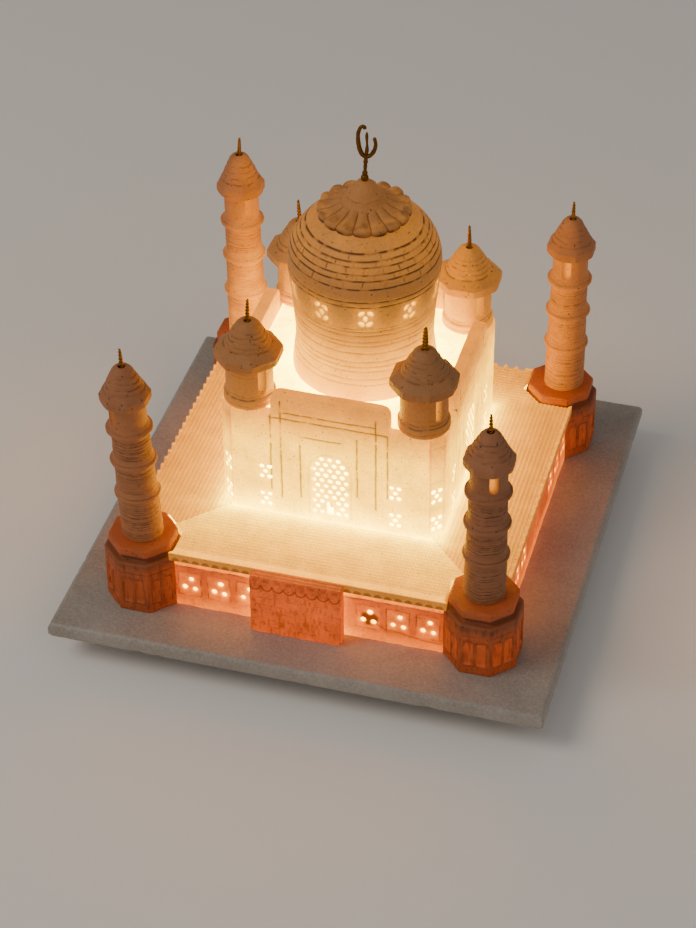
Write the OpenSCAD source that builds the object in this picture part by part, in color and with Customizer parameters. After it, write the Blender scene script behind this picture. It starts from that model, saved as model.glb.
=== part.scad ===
// A lamp-lit stone model of a domed hall with four corner towers, on a square slab.
// Millimetres, +Z up. The origin is on the standing surface, below the middle of the slab.

/* [Base slab] */
// Width of the square slab
slab_w = 200; // [190:1:240]
// Thickness of the slab
slab_t = 7; // [5:0.5:12]
// Bevel on the slab's arrises
slab_bevel = 1.2; // [0.5:0.1:2]
// Height of the feet
foot_h = 12; // [9:0.5:20]
// Diameter of the feet
foot_d = 16; // [10:0.5:24]
// Distance from the slab's edges to the middle of a foot
foot_inset = 36; // [20:1:45]

/* [Plinth] */
// Height of the terrace above the slab
plinth_h = 28; // [24:0.5:40]
// Width of the terrace
terrace_w = 153.2; // [146:0.2:160]
// Thickness of the terrace boards
board_t = 4; // [3:0.5:6]
// Width of the lamp opening in the terrace
opening_w = 72; // [60:1:76]
// Thickness of the plinth walls
wall_t = 4.5; // [3:0.5:8]
// How far the plinth walls stand back from the terrace's edge
wall_setback = 1.6; // [0.5:0.1:4]
// Width of the gate block
gate_w = 36.8; // [24:0.2:44]
// Distance from the plinth's middle to the gate's middle
gate_x = -3.1; // [-6:0.1:6]
// How far the gate block stands out
gate_t = 5.4; // [3:0.2:8]
// Spacing of the scallops along the edges
scallop_pitch = 4.6; // [3.5:0.1:7]
// Diameter of the drilled holes
hole_d = 1.9; // [1.4:0.1:2.4]

/* [Corner blocks] */
// Width of a corner block across its flats
block_w = 29; // [24:0.5:31]
// Distance of a corner block's axis from the plinth's middle planes
block_pos = 69; // [66:0.5:72]
// How far a corner block's panelled part stands above the terrace boards' underside
block_over = 0.6; // [0:0.1:3]
// Width of the seat plate across its flats
seat_w = 25.6; // [21:0.2:28]
// Height of the seat plate and the groove under it
seat_h = 5.9; // [4:0.1:8]

/* [Towers] */
// Diameter at the foot of a tower
tower_d = 16.4; // [12:0.2:18]
// Diameter at a tower's neck
neck_d = 14.4; // [10:0.2:16]
// Diameter of the balconies
balcony_d = 18.2; // [15:0.2:20]
// Height of a balcony
balcony_h = 3.6; // [2.5:0.1:5]
// Heights of the three stages, from the seat up
stages = [20, 16.4, 15.6];
// Height from the top balcony's foot to the eave
neck_h = 14.4; // [10:0.2:16]
// Height of each tower against the design's, from the front left one to the right and round
tower_k = [0.97, 0.95, 0.99, 1.08];
// Direction of the slot through each tower's neck
tower_slot = [-129, -60, -90, -45];
// Width of a tower's eave across its flats
tower_eave_w = 18.6; // [16:0.2:22]
// Height of a tower's cap
tower_cap_h = 16; // [12:0.5:22]
// Diameter of the tenon under a tower
tenon_d = 6; // [4:0.5:8]
// Length of the tenon
tenon_l = 8; // [5:0.5:12]

/* [Hall] */
// Width of the hall
hall_w = 91; // [86:0.5:96]
// How far the hall stands back of the plinth's middle
hall_y = 3.3; // [0:0.1:4]
// Length that a corner chamfer takes off each side
hall_chamfer = 5.9; // [4:0.1:8]
// Height of the hall's walls
hall_h = 48.6; // [44:0.2:60]
// Thickness of the hall's walls
hall_t = 5; // [4:0.25:6]
// Width of the raised gable panels
gable_w = 47.4; // [40:0.2:56]
// How far the gable panels rise above the roof
gable_rise = 10.6; // [6:0.2:14]
// Radius of the gable panels' top corners
gable_r = 3.5; // [1:0.1:5]
// Half width of the arched grille
arch_r = 7.8; // [6:0.1:9]
// Height of the arched grille
arch_h = 34; // [26:0.5:38]
// Thickness of the roof plate
roof_t = 5; // [3:0.5:8]

/* [Corner pavilions] */
// Distance of a pavilion's axis from the hall's middle planes
pavilion_pos = 35; // [34:0.2:36]
// Diameter of a pavilion's foot ring
ring_d = 20.8; // [17:0.2:21]
// Diameter of a pavilion's drum
drum_d = 18.8; // [14:0.2:19]
// Height of a pavilion's drum, with its ring
drum_h = 19.4; // [14:0.2:24]
// Width of a pavilion's eave across its flats
eave_w = 25.2; // [22:0.2:28]
// Height of a pavilion's cap
cap_h = 16.6; // [12:0.2:22]
// Diameter of the brass pins
pin_d = 1.8; // [1.2:0.1:2.4]
// How far a pavilion's pin stands out
pin_h = 11.5; // [6:0.5:14]
// Direction of the slot through each pavilion's drum
pavilion_slot = [-40, -37, -45, -137];
// How far a tower's pin stands out
tower_pin_h = 8.5; // [5:0.5:12]

/* [Dome] */
// Largest diameter of the dome
dome_d = 59.9; // [56:0.1:62]
// Height of the dome's widest ring above the roof
dome_belt = 48.6; // [44:0.2:54]
// Height of the dome above its widest ring
dome_top = 25.5; // [22:0.5:30]
// Thickness of the dome's wall
dome_t = 4.5; // [3:0.5:6]
// How far the dome stands right of the hall's middle
dome_x = 1.8; // [0:0.1:2.4]
// Height of the drum's windows above the roof
window_rise = 38.7; // [34:0.1:41]
// Number of windows round the drum
drum_windows = 10; // [6:1:12]
// Diameter of the petal crown
crown_d = 37.6; // [30:0.2:42]
// Height of the petal crown above the dome
crown_h = 10.4; // [8:0.2:14]
// Number of petals
petals = 16; // [12:1:20]
// Height of the finial
finial_h = 25; // [18:0.5:32]

/* [Lamp] */
// Diameter of the lamp hole in the slab
lamp_hole_d = 44; // [43:1:50]
// Diameter of the lamp plate
plate_d = 64; // [60:1:72]
// Thickness of the lamp plate
plate_t = 1.5; // [1:0.25:3]
// Outer diameter of the lampholder
holder_d = 27; // [24:0.5:28]
// Height of the lampholder
holder_h = 34; // [30:1:38]
// Diameter of the bulb's screw shell
shell_d = 13.6; // [13:0.1:14]
// Diameter of the bulb's glass
glass_d = 22; // [18:0.5:26]
// Length of the bulb's glass above the holder
glass_l = 42; // [36:1:48]
// Bore of the cord grommet
cord_d = 5.2; // [4:0.1:5.6]

/* [Fits] */
// Gap where a loose piece rests on another
rest_gap = 0.05; // [0.02:0.01:0.2]
// Radial clearance of the tenons and of the bulb's screw shell
run_gap = 0.06; // [0.02:0.01:0.1]

/* [Hidden] */
SIDES = ["front", "right", "back", "left"];
CORNERS = ["front_left", "front_right", "back_right", "back_left"];

$fn = 96;
eps = 0.01;                                  // overlap of cutters past the face they cut
pale_stone = [0.97, 0.88, 0.70];
brass = [0.62, 0.45, 0.18];

slab_top = foot_h + slab_t;
terrace_z = slab_top + plinth_h;             // top of the terrace
block_h = plinth_h - board_t + block_over;   // height of a corner block's panelled part
seat_groove = 1.9;                           // height of the groove under a seat plate
seat_z = slab_top + block_h + seat_h;        // top of the seat plates
tower_top = vsum(stages) + neck_h;           // length of a tower's shaft, before its own factor
wall_out = terrace_w / 2 - wall_setback;     // outer face of the plinth walls
wall_half = block_pos - block_w / 2;         // where the plinth walls meet the corner blocks
hall_z = terrace_z + rest_gap;               // foot of the hall
roof_z = hall_z + hall_h;                    // top of the hall's walls and roof
hall_flat = hall_w / 2 - hall_chamfer;       // half width of the hall's flat sides
cap_z = roof_z + drum_h;                     // foot of a pavilion's cap
belt_z = roof_z + dome_belt;                 // widest ring of the dome
crown_r = crown_d / 2;
crown_z = belt_z + dome_rise(crown_r, dome_d / 2, dome_top);   // the crown's rim meets the dome here
crown_foot_r = 7.2;                          // foot of the small cone on the crown
spigot_r = 6;                                // spigot under the crown
finial_z = crown_z + crown_h + 4.6;          // top of the crown
holder_z = foot_h;
holder_top = holder_z + holder_h;
shell_l = 20;                                // length of the bulb's screw shell
slot_w = 2.8;                                // slot through a neck or a drum
grommet_r = cord_d / 2 + 1.2;
grommet_y = holder_d / 2 + grommet_r + 0.2;
shank_l = 3;                                 // length of a pin inside its cap
window_z = [6.3, 20];                        // heights of the hall's square windows above its foot
window_x = 26.4;                             // their distance from the wall's middle

function vsum(v, i = 0) = i >= len(v) ? 0 : v[i] + vsum(v, i + 1);
function stage_z(i) = i == 0 ? 0 : stage_z(i - 1) + stages[i - 1];
function dome_rise(r, a, b) = b * sqrt(max(0, 1 - r * r / (a * a)));
function corner_sign(i) = [[-1, -1], [1, -1], [1, 1], [-1, 1]][i];

// Points of an arc in the profile plane, from angle a to angle b
function arc(cx, cy, r, a, b, n = 6) =
    [for (k = [0:n]) [cx + r * cos(a + (b - a) * k / n), cy + r * sin(a + (b - a) * k / n)]];

// A balcony's profile on a shaft: a flared foot, a rounded rim and a shoulder back to radius r2
function balcony(z, r, r1, r2, h) = concat(
    [[r, z - 0.8]], arc(r1 - 0.8, z + 0.9, 0.8, -70, 60, 4), [[r1 - 1.1, z + 0.55 * h], [r2, z + h]]);

module octagon_prism(w, h) {
    rotate([0, 0, 22.5]) cylinder(d = w / cos(22.5), h = h, $fn = 8);
}

// Holes in a five-spot pattern, drilled along Y through a wall t thick whose face is at y = 0
module five_spot(w, h, t) {
    for (p = [[-1, -1], [1, -1], [0, 0], [-1, 1], [1, 1]])
        translate([p[0] * w / 2, t + 1, p[1] * h / 2]) rotate([90, 0, 0])
            cylinder(d = hole_d, h = t + 2, $fn = 24);
}

// Places a piece of the front side on side i, turned about the Z axis
module on_side(i) {
    rotate([0, 0, 90 * i]) children();
}

module base_slab() {
    half = slab_w / 2;
    b = slab_bevel;
    section = [[-half + b, 0], [half - b, 0], [half, b], [half, slab_t - b], [half - b, slab_t],
               [-half + b, slab_t], [-half, slab_t - b], [-half, b]];
    color([0.72, 0.66, 0.60]) translate([0, 0, foot_h]) difference() {
        intersection() {
            rotate([90, 0, 0]) linear_extrude(slab_w, center = true) polygon(section);
            rotate([90, 0, 90]) linear_extrude(slab_w, center = true) polygon(section);
        }
        translate([0, 0, -1]) cylinder(d = lamp_hole_d, h = slab_t + 2);
        for (a = [45:90:315])
            rotate([0, 0, a]) translate([screw_r(), 0, -eps])
                cylinder(d = screw_d(), h = screw_bite() + eps, $fn = 24);
    }
}

function screw_r() = (lamp_hole_d + plate_d) / 4;
function screw_d() = 3;
function screw_bite() = slab_t * 0.6;

module feet() {
    color([0.16, 0.15, 0.15]) for (x = [-1, 1], y = [-1, 1])
        translate([x * (slab_w / 2 - foot_inset), y * (slab_w / 2 - foot_inset), 0]) rotate_extrude()
            polygon([[0, 0], [foot_d / 2 - 1.8, 0], [foot_d / 2 - 1.2, 0.6], [foot_d / 2, foot_h], [0, foot_h]]);
}

// Three groups of three holes on each side of the middle
module plinth_wall(i) {
    span = wall_half - gate_w / 2;
    color([0.95, 0.55, 0.30]) on_side(i) translate([0, -wall_out, slab_top]) difference() {
        translate([-wall_half, 0, 0]) cube([2 * wall_half, wall_t, plinth_h - board_t]);
        for (s = [-1, 1], k = [0:2], p = [[-2, 10], [2.2, 9.6], [0.8, 14.4]])
            translate([s * (wall_half - span * (k + 0.5) / 3) + p[0], wall_t + 1, p[1]])
                rotate([90, 0, 0]) cylinder(d = hole_d, h = wall_t + 2, $fn = 24);
    }
}

// A mitred board of the terrace with a scalloped edge, notched round the corner blocks
module terrace_board(i) {
    out = terrace_w / 2;
    in = opening_w / 2;
    n = floor((2 * wall_half - 2) / scallop_pitch);
    color(pale_stone) on_side(i) difference() {
        translate([0, 0, terrace_z - board_t]) linear_extrude(board_t)
            polygon([[-out, -out], [out, -out], [in, -in], [-in, -in]]);
        for (s = [-1, 1]) translate([s * block_pos, -block_pos, slab_top]) {
            octagon_prism(block_w, plinth_h + 1);
            translate([0, 0, block_h + seat_groove]) octagon_prism(seat_w, plinth_h);
        }
        if (i != 0) for (k = [0:n - 1])
            translate([(k - (n - 1) / 2) * scallop_pitch, -out - 1, terrace_z])
                rotate([-90, 0, 0]) cylinder(d = scallop_pitch * 0.7, h = 2.1, $fn = 24);
    }
}

module gate_block() {
    n = floor((gate_w - 1) / scallop_pitch) + 1;
    color([0.90, 0.48, 0.24]) translate([gate_x, -terrace_w / 2 - gate_t, slab_top]) difference() {
        translate([-gate_w / 2, 0, 0]) cube([gate_w, gate_t, plinth_h]);
        for (k = [0:n - 1])
            translate([(k - (n - 1) / 2) * scallop_pitch, -1, plinth_h - 1.4])
                rotate([-90, 0, 0]) cylinder(d = scallop_pitch * 0.66, h = 1.9, $fn = 24);
        translate([-gate_w / 2 - 1, -1, plinth_h - 5.6]) cube([gate_w + 2, 1.5, 0.6]);
    }
}

// An octagonal block with two recessed panels on each outward face, a grooved neck and the tower's seat
module corner_block(i) {
    s = corner_sign(i);
    face = block_w * tan(22.5);
    color([0.86, 0.50, 0.28]) translate([s[0] * block_pos, s[1] * block_pos, slab_top]) difference() {
        union() {
            octagon_prism(block_w, block_h);
            octagon_prism(seat_w - 2.4, block_h + seat_h - 1);
            translate([0, 0, block_h + seat_groove]) octagon_prism(seat_w, seat_h - seat_groove);
        }
        for (a = [0:45:315]) if (s[0] * sin(a) > -0.1 && -s[1] * cos(a) > -0.1)
            rotate([0, 0, a]) for (u = [-1, 1])
                translate([u * face * 0.23 - face * 0.15, -block_w / 2 - 1, 5]) cube([face * 0.3, 1.7, 12]);
        translate([0, 0, block_h + seat_h - socket_depth()])
            cylinder(r = tenon_d / 2 + run_gap, h = socket_depth() + 1);
    }
}

function socket_depth() = tenon_l + 1;

module tower_at(i) {
    s = corner_sign(i);
    translate([s[0] * block_pos, s[1] * block_pos, seat_z + rest_gap]) children();
}

module tower_shaft(i) {
    r0 = tower_d / 2;
    r3 = neck_d / 2;
    step = (r0 - r3) / 3;
    k = tower_k[i];
    top = tower_top * k;
    color([0.80, 0.50, 0.30]) tower_at(i) difference() {
        union() {
            rotate_extrude() polygon(concat(
                [[0, 0], [r0, 0]],
                balcony(k * stage_z(1), r0 - 0.2, balcony_d / 2, r0 - step, balcony_h),
                balcony(k * stage_z(2), r0 - step, balcony_d / 2, r0 - 2 * step, balcony_h),
                balcony(k * stage_z(3), r0 - 2 * step, balcony_d / 2, r3, balcony_h),
                [[r3, top], [0, top]]));
            translate([0, 0, -tenon_l]) cylinder(d = tenon_d, h = tenon_l + 1);
        }
        translate([0, 0, k * stage_z(3) + balcony_h + 1])
            neck_slot(k * neck_h - balcony_h - 2.2, neck_d, tower_slot[i]);
    }
}

// A slot right through in direction a, with a round foot
module neck_slot(h, d, a) {
    rotate([0, 0, a]) {
        translate([-d, -slot_w / 2, slot_w / 2]) cube([2 * d, slot_w, h - slot_w / 2]);
        translate([-d, 0, slot_w / 2]) rotate([0, 90, 0]) cylinder(d = slot_w, h = 2 * d, $fn = 32);
    }
}

// An octagonal eave ground on a turned roof, then a ringed cone with a drilled flat top
module roof_cap(w, r_cone, r_top, h, rings, bore_l) {
    eave = 0.17 * h;
    shoulder = 0.34 * h;
    difference() {
        union() {
            intersection() {
                octagon_prism(w, h);
                rotate_extrude() polygon([[0, 0], [w / 2 - 0.2, 0], [w * 0.54, 0.6], [w * 0.54, eave],
                                          [r_cone, shoulder], [0, shoulder]]);
            }
            rotate_extrude() polygon(concat([[0, shoulder - 0.5], [r_cone, shoulder - 0.5]],
                [for (k = [0:rings - 1]) each ring_step(k, rings, r_cone, r_top, shoulder, h - 0.6)],
                [[r_top, h - 0.4], [r_top - 0.5, h], [0, h]]));
        }
        translate([0, 0, h - bore_l]) cylinder(d = pin_d, h = bore_l + 1, $fn = 24);
    }
}

// One ring of a cone: a bulging stretch and the small step above it
function ring_step(k, n, r0, r1, z0, z1) =
    let (f = function (t) r0 + (r1 - r0) * pow(t, 1.05), g = function (t) z0 + (z1 - z0) * t)
    [[f(k / n) - 0.1, g(k / n) + 0.1], [f((k + 0.5) / n) + 0.15, g((k + 0.5) / n)],
     [f((k + 0.9) / n), g((k + 0.9) / n)], [f((k + 1) / n) - 0.25, g((k + 0.95) / n)]];

module tower_cap(i) {
    color([0.82, 0.56, 0.36]) tower_at(i) translate([0, 0, tower_top * tower_k[i]])
        roof_cap(tower_eave_w, neck_d / 2, 3.2, tower_cap_h * tower_k[i], 4, shank_l);
}

module brass_pin(out) {
    color(brass) rotate_extrude() polygon([[0, -shank_l], [pin_d / 2, -shank_l], [pin_d / 2, out * 0.62],
                                           [pin_d * 0.3, out * 0.9], [0, out]]);
}

module tower_pin(i) {
    tower_at(i) translate([0, 0, (tower_top + tower_cap_h) * tower_k[i]]) brass_pin(tower_pin_h);
}

// The outline of a hall wall with its raised gable panel, from z = 0
module gable_outline() {
    g = gable_w / 2;
    top = hall_h + gable_rise;
    polygon(concat([[-hall_flat, 0], [hall_flat, 0], [hall_flat, hall_h], [g, hall_h]],
        arc(g - gable_r, top - gable_r, gable_r, 0, 90), arc(gable_r - g, top - gable_r, gable_r, 90, 180),
        [[-g, hall_h], [-hall_flat, hall_h]]));
}

// Holes of the arched grille: rows that fill the arch, with a small door at the foot
module arch_grille(t) {
    pitch = hole_d * 1.75;                   // between holes in a row; rows are staggered by half of it
    rise = pitch * 0.8;
    sill = 3.4;
    door_h = 2.4 * rise;
    for (j = [0:floor((arch_h - sill) / rise)]) {
        z = sill + hole_d / 2 + j * rise;
        dz = max(0, z - (arch_h - arch_r));
        half = sqrt(max(0, pow(arch_r - hole_d / 2, 2) - dz * dz));
        shift = j % 2 == 0 ? 0 : pitch / 2;
        above_door = z > sill + door_h + hole_d / 2;
        if (dz < arch_r - hole_d / 2) for (k = [-ceil(half / pitch):ceil(half / pitch)]) {
            x = k * pitch + shift;
            if (abs(x) <= half && (above_door || abs(x) > pitch * 0.9))
                translate([x, t + 1, z]) rotate([90, 0, 0]) cylinder(d = hole_d, h = t + 2, $fn = 24);
        }
    }
    translate([-hole_d * 0.75, -1, sill]) cube([hole_d * 1.5, t + 2, door_h]);
}

module hall_wall(i) {
    color(pale_stone) translate([0, hall_y, hall_z]) on_side(i) translate([0, -hall_w / 2, 0]) difference() {
        translate([0, hall_t, 0]) rotate([90, 0, 0]) linear_extrude(hall_t) gable_outline();
        arch_grille(hall_t);
        for (s = [-1, 1], z = window_z) translate([s * window_x, 0, z]) five_spot(3, 5, hall_t);
    }
}

// The chamfered corner post between two walls
module hall_corner(i) {
    f = hall_flat;
    h = hall_w / 2;
    color(pale_stone) translate([0, hall_y, hall_z]) on_side(i) difference() {
        linear_extrude(hall_h) polygon([[-f, -h], [-h, -f], [hall_t - h, -f], [-f, hall_t - h]]);
        for (z = window_z)
            translate([-(f + h) / 2, -(f + h) / 2, z]) rotate([0, 0, -45]) five_spot(3, 5, hall_t);
    }
}

module hall_roof() {
    half = hall_w / 2 - hall_t;
    f = hall_flat;
    color(pale_stone) translate([0, hall_y, roof_z - roof_t]) difference() {
        linear_extrude(roof_t) polygon([[-f, -half], [f, -half], [half, -f], [half, f],
                                        [f, half], [-f, half], [-half, f], [-half, -f]]);
        translate([dome_x, 0, -1]) cylinder(r = dome_foot_in(), h = roof_t + 2);
    }
}

function dome_foot_in() = dome_d / 2 - dome_t - 3;

module pavilion_at(i) {
    s = corner_sign(i);
    translate([s[0] * pavilion_pos, hall_y + s[1] * pavilion_pos, roof_z]) children();
}

module pavilion_drum(i) {
    color([0.86, 0.58, 0.32]) pavilion_at(i) difference() {
        rotate_extrude() polygon(concat([[0, 0], [ring_d / 2 - 0.4, 0], [ring_d / 2, 0.5]],
            arc(ring_d / 2 - 0.6, 3.4, 0.6, 0, 70, 3),
            [[drum_d / 2 + 0.1, 4.3], [drum_d / 2, 4.8], [drum_d / 2, drum_h], [0, drum_h]]));
        translate([0, 0, 6.5]) neck_slot(drum_h - 6.5 - 1.6, drum_d, pavilion_slot[i]);
    }
}

module pavilion_cap(i) {
    color([0.74, 0.50, 0.34]) pavilion_at(i) translate([0, 0, drum_h])
        roof_cap(eave_w, eave_w * 0.34, 3.8, cap_h, 5, shank_l);
}

module pavilion_pin(i) {
    pavilion_at(i) translate([0, 0, drum_h + cap_h]) brass_pin(pin_h);
}

// Half of the dome's outer outline from foot to top, k mm inside the outer face
function dome_outline(k) = concat(
    [[r_at(28.7, k), 0], [r_at(28.5, k), 3], [r_at(28.1, k), 5.8], [r_at(27.2, k), 12.5], [r_at(27.2, k), 18],
     [r_at(27.9, k), 27], [r_at(28.4, k), 33], [r_at(29.3, k), 40.5]],
    [for (a = [0:9:81]) [(dome_d / 2 - k) * cos(a), dome_belt + (dome_top - k) * sin(a)]]);
function r_at(r, k) = r * dome_d / 59.9 - k;

module dome() {
    color([0.90, 0.66, 0.38]) translate([dome_x, hall_y, roof_z]) difference() {
        rotate_extrude() polygon(concat([[0, 0]], dome_outline(0), [[0, dome_belt + dome_top]]));
        translate([0, 0, -eps]) rotate_extrude()
            polygon(concat([[0, 0]], dome_outline(dome_t), [[0, dome_belt + dome_top - dome_t]]));
        cylinder(r = spigot_r, h = dome_belt + dome_top + 1);
        for (a = [0:drum_windows - 1]) rotate([0, 0, 16 + a * 360 / drum_windows])
            translate([0, -dome_d / 2 - 1, window_rise]) five_spot(3.4, 5.2, dome_t + 4);
    }
}

// A petalled cap on the dome, with a spigot through it and a bore for the finial
module dome_crown() {
    top = crown_h + 4.6;
    rim = 1.5;
    notch = crown_d * PI / petals * 0.2;
    color([0.80, 0.56, 0.36]) translate([dome_x, hall_y, crown_z]) difference() {
        union() {
            rotate_extrude() polygon(concat([[0, spigot_top()]],
                [for (k = [0:16]) let (r = spigot_r + (crown_r - spigot_r) * k / 16) [r, seat_rise(r)]],
                [[crown_r, rim], [(crown_r + crown_foot_r) / 2, crown_h * 0.46 + rim * 0.6],
                 [crown_foot_r, crown_h], [crown_foot_r * 0.8, crown_h + 1.2],
                 [2.6, top - 0.5], [2.1, top], [0, top]]));
            translate([0, 0, spigot_top() - dome_t]) cylinder(r = spigot_r, h = dome_t + 1);
        }
        for (a = [0:petals - 1]) rotate([0, 0, a * 360 / petals])
            translate([crown_r + notch * 0.4, 0, -1]) cylinder(r = notch, h = rim + 2.4, $fn = 24);
        translate([0, 0, top - 5]) cylinder(d = pin_d, h = 6, $fn = 24);
    }
}

// Height of the dome's surface at radius r above the crown's rim, with a hair's room for glue
function seat_rise(r) = dome_rise(r, dome_d / 2, dome_top) - dome_rise(crown_r, dome_d / 2, dome_top) + 0.02;
function spigot_top() = seat_rise(spigot_r);

// Two beads, a tapered stem and a crescent with a spike inside it
module dome_finial() {
    k = finial_h / 25;                       // everything on the finial follows its height
    bow_w = 4.7 * k;                         // half width of the crescent
    bow_h = 7 * k;                           // half height of the ellipse that it follows
    bow_z = finial_h - 5.6 * k;
    color(brass) translate([dome_x, hall_y, finial_z]) {
        rotate_extrude() polygon(concat([[0, -4.5], [pin_d / 2, -4.5], [pin_d / 2, 0]],
            arc(0, 1.5 * k, 1.9 * k, -50, 55), arc(0, 3.9 * k, 1.35 * k, -45, 60),
            [[0.85 * k, 6 * k], [0.6 * k, bow_z - bow_h], [0.75 * k, bow_z - 2 * k], [0, finial_h - 1.5 * k]]));
        translate([0, 0, bow_z]) rotate([0, 0, -25]) rotate([90, 0, 0]) linear_extrude(1.6 * k, center = true)
            polygon(concat([for (a = [-215:10:35]) [bow_w * cos(a), bow_h * sin(a)]],
                           [for (a = [30:-10:-210]) let (t = 1.7 * k * pow(cos((a + 90) / 1.35), 0.6))
                               [(bow_w - t) * cos(a), (bow_h - t) * sin(a)]]));
    }
}

module lamp_plate() {
    color([0.70, 0.70, 0.70]) translate([0, 0, foot_h - plate_t]) difference() {
        cylinder(d = plate_d, h = plate_t);
        for (a = [45:90:315])
            rotate([0, 0, a]) translate([screw_r(), 0, -1])
                cylinder(d = screw_d(), h = plate_t + 2, $fn = 24);
        translate([0, grommet_y, -1]) cylinder(r = grommet_r - 0.6, h = plate_t + 2, $fn = 32);
    }
}

module plate_screws() {
    color([0.75, 0.75, 0.75]) for (a = [45:90:315])
        rotate([0, 0, a]) translate([screw_r(), 0, foot_h - plate_t]) difference() {
            union() {
                translate([0, 0, -1.8]) rotate_extrude($fn = 48)
                    polygon([[0, 0], [1.6, 0], [2.6, 0.7], [2.9, 1.8], [0, 1.8]]);
                cylinder(d = screw_d(), h = plate_t + screw_bite() - 0.2, $fn = 24);
            }
            translate([-2, -0.3, -2]) cube([4, 0.6, 0.9]);
        }
}

// A lampholder with a flange, open at the top for the bulb's screw shell
module lamp_holder() {
    bore = shell_d / 2 + run_gap;
    r = holder_d / 2;
    color([0.94, 0.93, 0.90]) translate([0, 0, holder_z]) rotate_extrude()
        polygon([[0, 0], [r, 0], [r, 3], [r - 1.5, 4], [r - 1.5, holder_h - 6], [r - 0.5, holder_h - 5],
                 [r - 0.5, holder_h - 0.6], [r - 1.1, holder_h], [bore, holder_h],
                 [bore, holder_h - shell_l - 4], [0, holder_h - shell_l - 4]]);
}

module cord_grommet() {
    color([0.12, 0.12, 0.12]) translate([0, grommet_y, foot_h - plate_t - 1.4]) rotate_extrude($fn = 48)
        polygon([[cord_d / 2, 0], [grommet_r, 0], [grommet_r, 1.4], [grommet_r - 0.6, 1.4],
                 [grommet_r - 0.6, 1.4 + plate_t], [grommet_r, 1.4 + plate_t], [grommet_r, 2.8 + plate_t],
                 [cord_d / 2, 2.8 + plate_t]]);
}

// The bulb: screw shell, contact, glass and filament on one axis
module bulb_shell() {
    r = shell_d / 2;
    pitch = 2.8;
    n = floor((shell_l - 5) / pitch);
    color([0.78, 0.66, 0.38]) translate([0, 0, holder_top - shell_l]) rotate_extrude()
        polygon(concat([[0, 0], [r - 1.4, 0]],
            [for (k = [0:n - 1]) each [[r - 0.5, 1.2 + k * pitch], [r, 1.2 + (k + 0.5) * pitch]]],
            [[r - 0.5, 1.2 + n * pitch], [r, shell_l - 1.5], [r, shell_l], [0, shell_l]]));
}

module bulb_contact() {
    color([0.20, 0.18, 0.17]) translate([0, 0, holder_top - shell_l]) rotate_extrude($fn = 48)
        polygon([[0, -3.2], [1.6, -3.2], [2.2, -2.6], [shell_d / 2 - 1.8, 0], [0, 0]]);
}

function glass_outline(k) = let (r = glass_d / 2, n = shell_d / 2) concat(
    [[n - 0.8 - k, 0], [n - 0.6 - k, 3], [n + (r - n) * 0.6 - k, 10], [r - k, 17]],
    [for (a = [0:15:75]) [(r - k) * cos(a), glass_l - r + (r - k) * sin(a)]]);

module bulb_glass() {
    color([1.0, 0.95, 0.80, 0.5]) translate([0, 0, holder_top]) difference() {
        rotate_extrude() polygon(concat([[0, 0]], glass_outline(0), [[0, glass_l]]));
        translate([0, 0, 1]) rotate_extrude()
            polygon(concat([[0, 0]], glass_outline(0.8), [[0, glass_l - 1.8]]));
    }
}

module bulb_filament() {
    color([1.0, 0.75, 0.35]) translate([0, 0, holder_top + 1]) {
        rotate_extrude($fn = 48) polygon([[0, 0], [3, 0], [2, 4], [1.4, 13], [0, 14]]);
        for (s = [-1, 1]) translate([s * 1, 0, 12]) rotate([0, s * 22, 0]) cylinder(d = 0.5, h = 9, $fn = 16);
        translate([-4.4, 0, 20.1]) rotate([0, 90, 0]) cylinder(d = 1.1, h = 8.8, $fn = 24);
    }
}

base_slab();
feet();
gate_block();
lamp_plate();
plate_screws();
lamp_holder();
cord_grommet();
bulb_contact();
bulb_shell();
bulb_glass();
bulb_filament();
hall_roof();
dome();
dome_crown();
dome_finial();
for (i = [0:3]) {
    plinth_wall(i);
    terrace_board(i);
    hall_wall(i);
    corner_block(i);
    tower_shaft(i);
    tower_cap(i);
    tower_pin(i);
    hall_corner(i);
    pavilion_drum(i);
    pavilion_cap(i);
    pavilion_pin(i);
}
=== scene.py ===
import bpy
import math
import numpy as np
from mathutils import Matrix, Vector


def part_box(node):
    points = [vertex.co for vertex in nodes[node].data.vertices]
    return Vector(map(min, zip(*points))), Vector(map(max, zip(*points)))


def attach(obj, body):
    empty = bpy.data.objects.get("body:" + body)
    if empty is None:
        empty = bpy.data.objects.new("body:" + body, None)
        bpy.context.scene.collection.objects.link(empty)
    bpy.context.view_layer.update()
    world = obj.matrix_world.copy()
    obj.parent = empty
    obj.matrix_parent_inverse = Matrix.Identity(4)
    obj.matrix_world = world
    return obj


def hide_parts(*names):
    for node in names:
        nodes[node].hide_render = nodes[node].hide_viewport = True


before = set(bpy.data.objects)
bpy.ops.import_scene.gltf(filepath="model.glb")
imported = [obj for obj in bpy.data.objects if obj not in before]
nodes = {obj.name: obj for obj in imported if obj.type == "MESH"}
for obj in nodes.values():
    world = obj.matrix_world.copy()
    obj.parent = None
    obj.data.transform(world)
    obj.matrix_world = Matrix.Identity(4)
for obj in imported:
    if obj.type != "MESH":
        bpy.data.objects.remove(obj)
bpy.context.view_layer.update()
mm = 0.001
sides = ["front", "right", "back", "left"]
corners = ["front_left", "front_right", "back_right", "back_left"]
print("frame loaded,", len(nodes), "nodes")


def linear(hexText):
    # sRGB hex to the linear colour that a shader takes
    parts = [int(hexText[i:i + 2], 16) / 255 for i in (1, 3, 5)]
    return tuple(c / 12.92 if c <= 0.04045 else ((c + 0.055) / 1.055) ** 2.4 for c in parts) + (1.0,)


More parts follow.
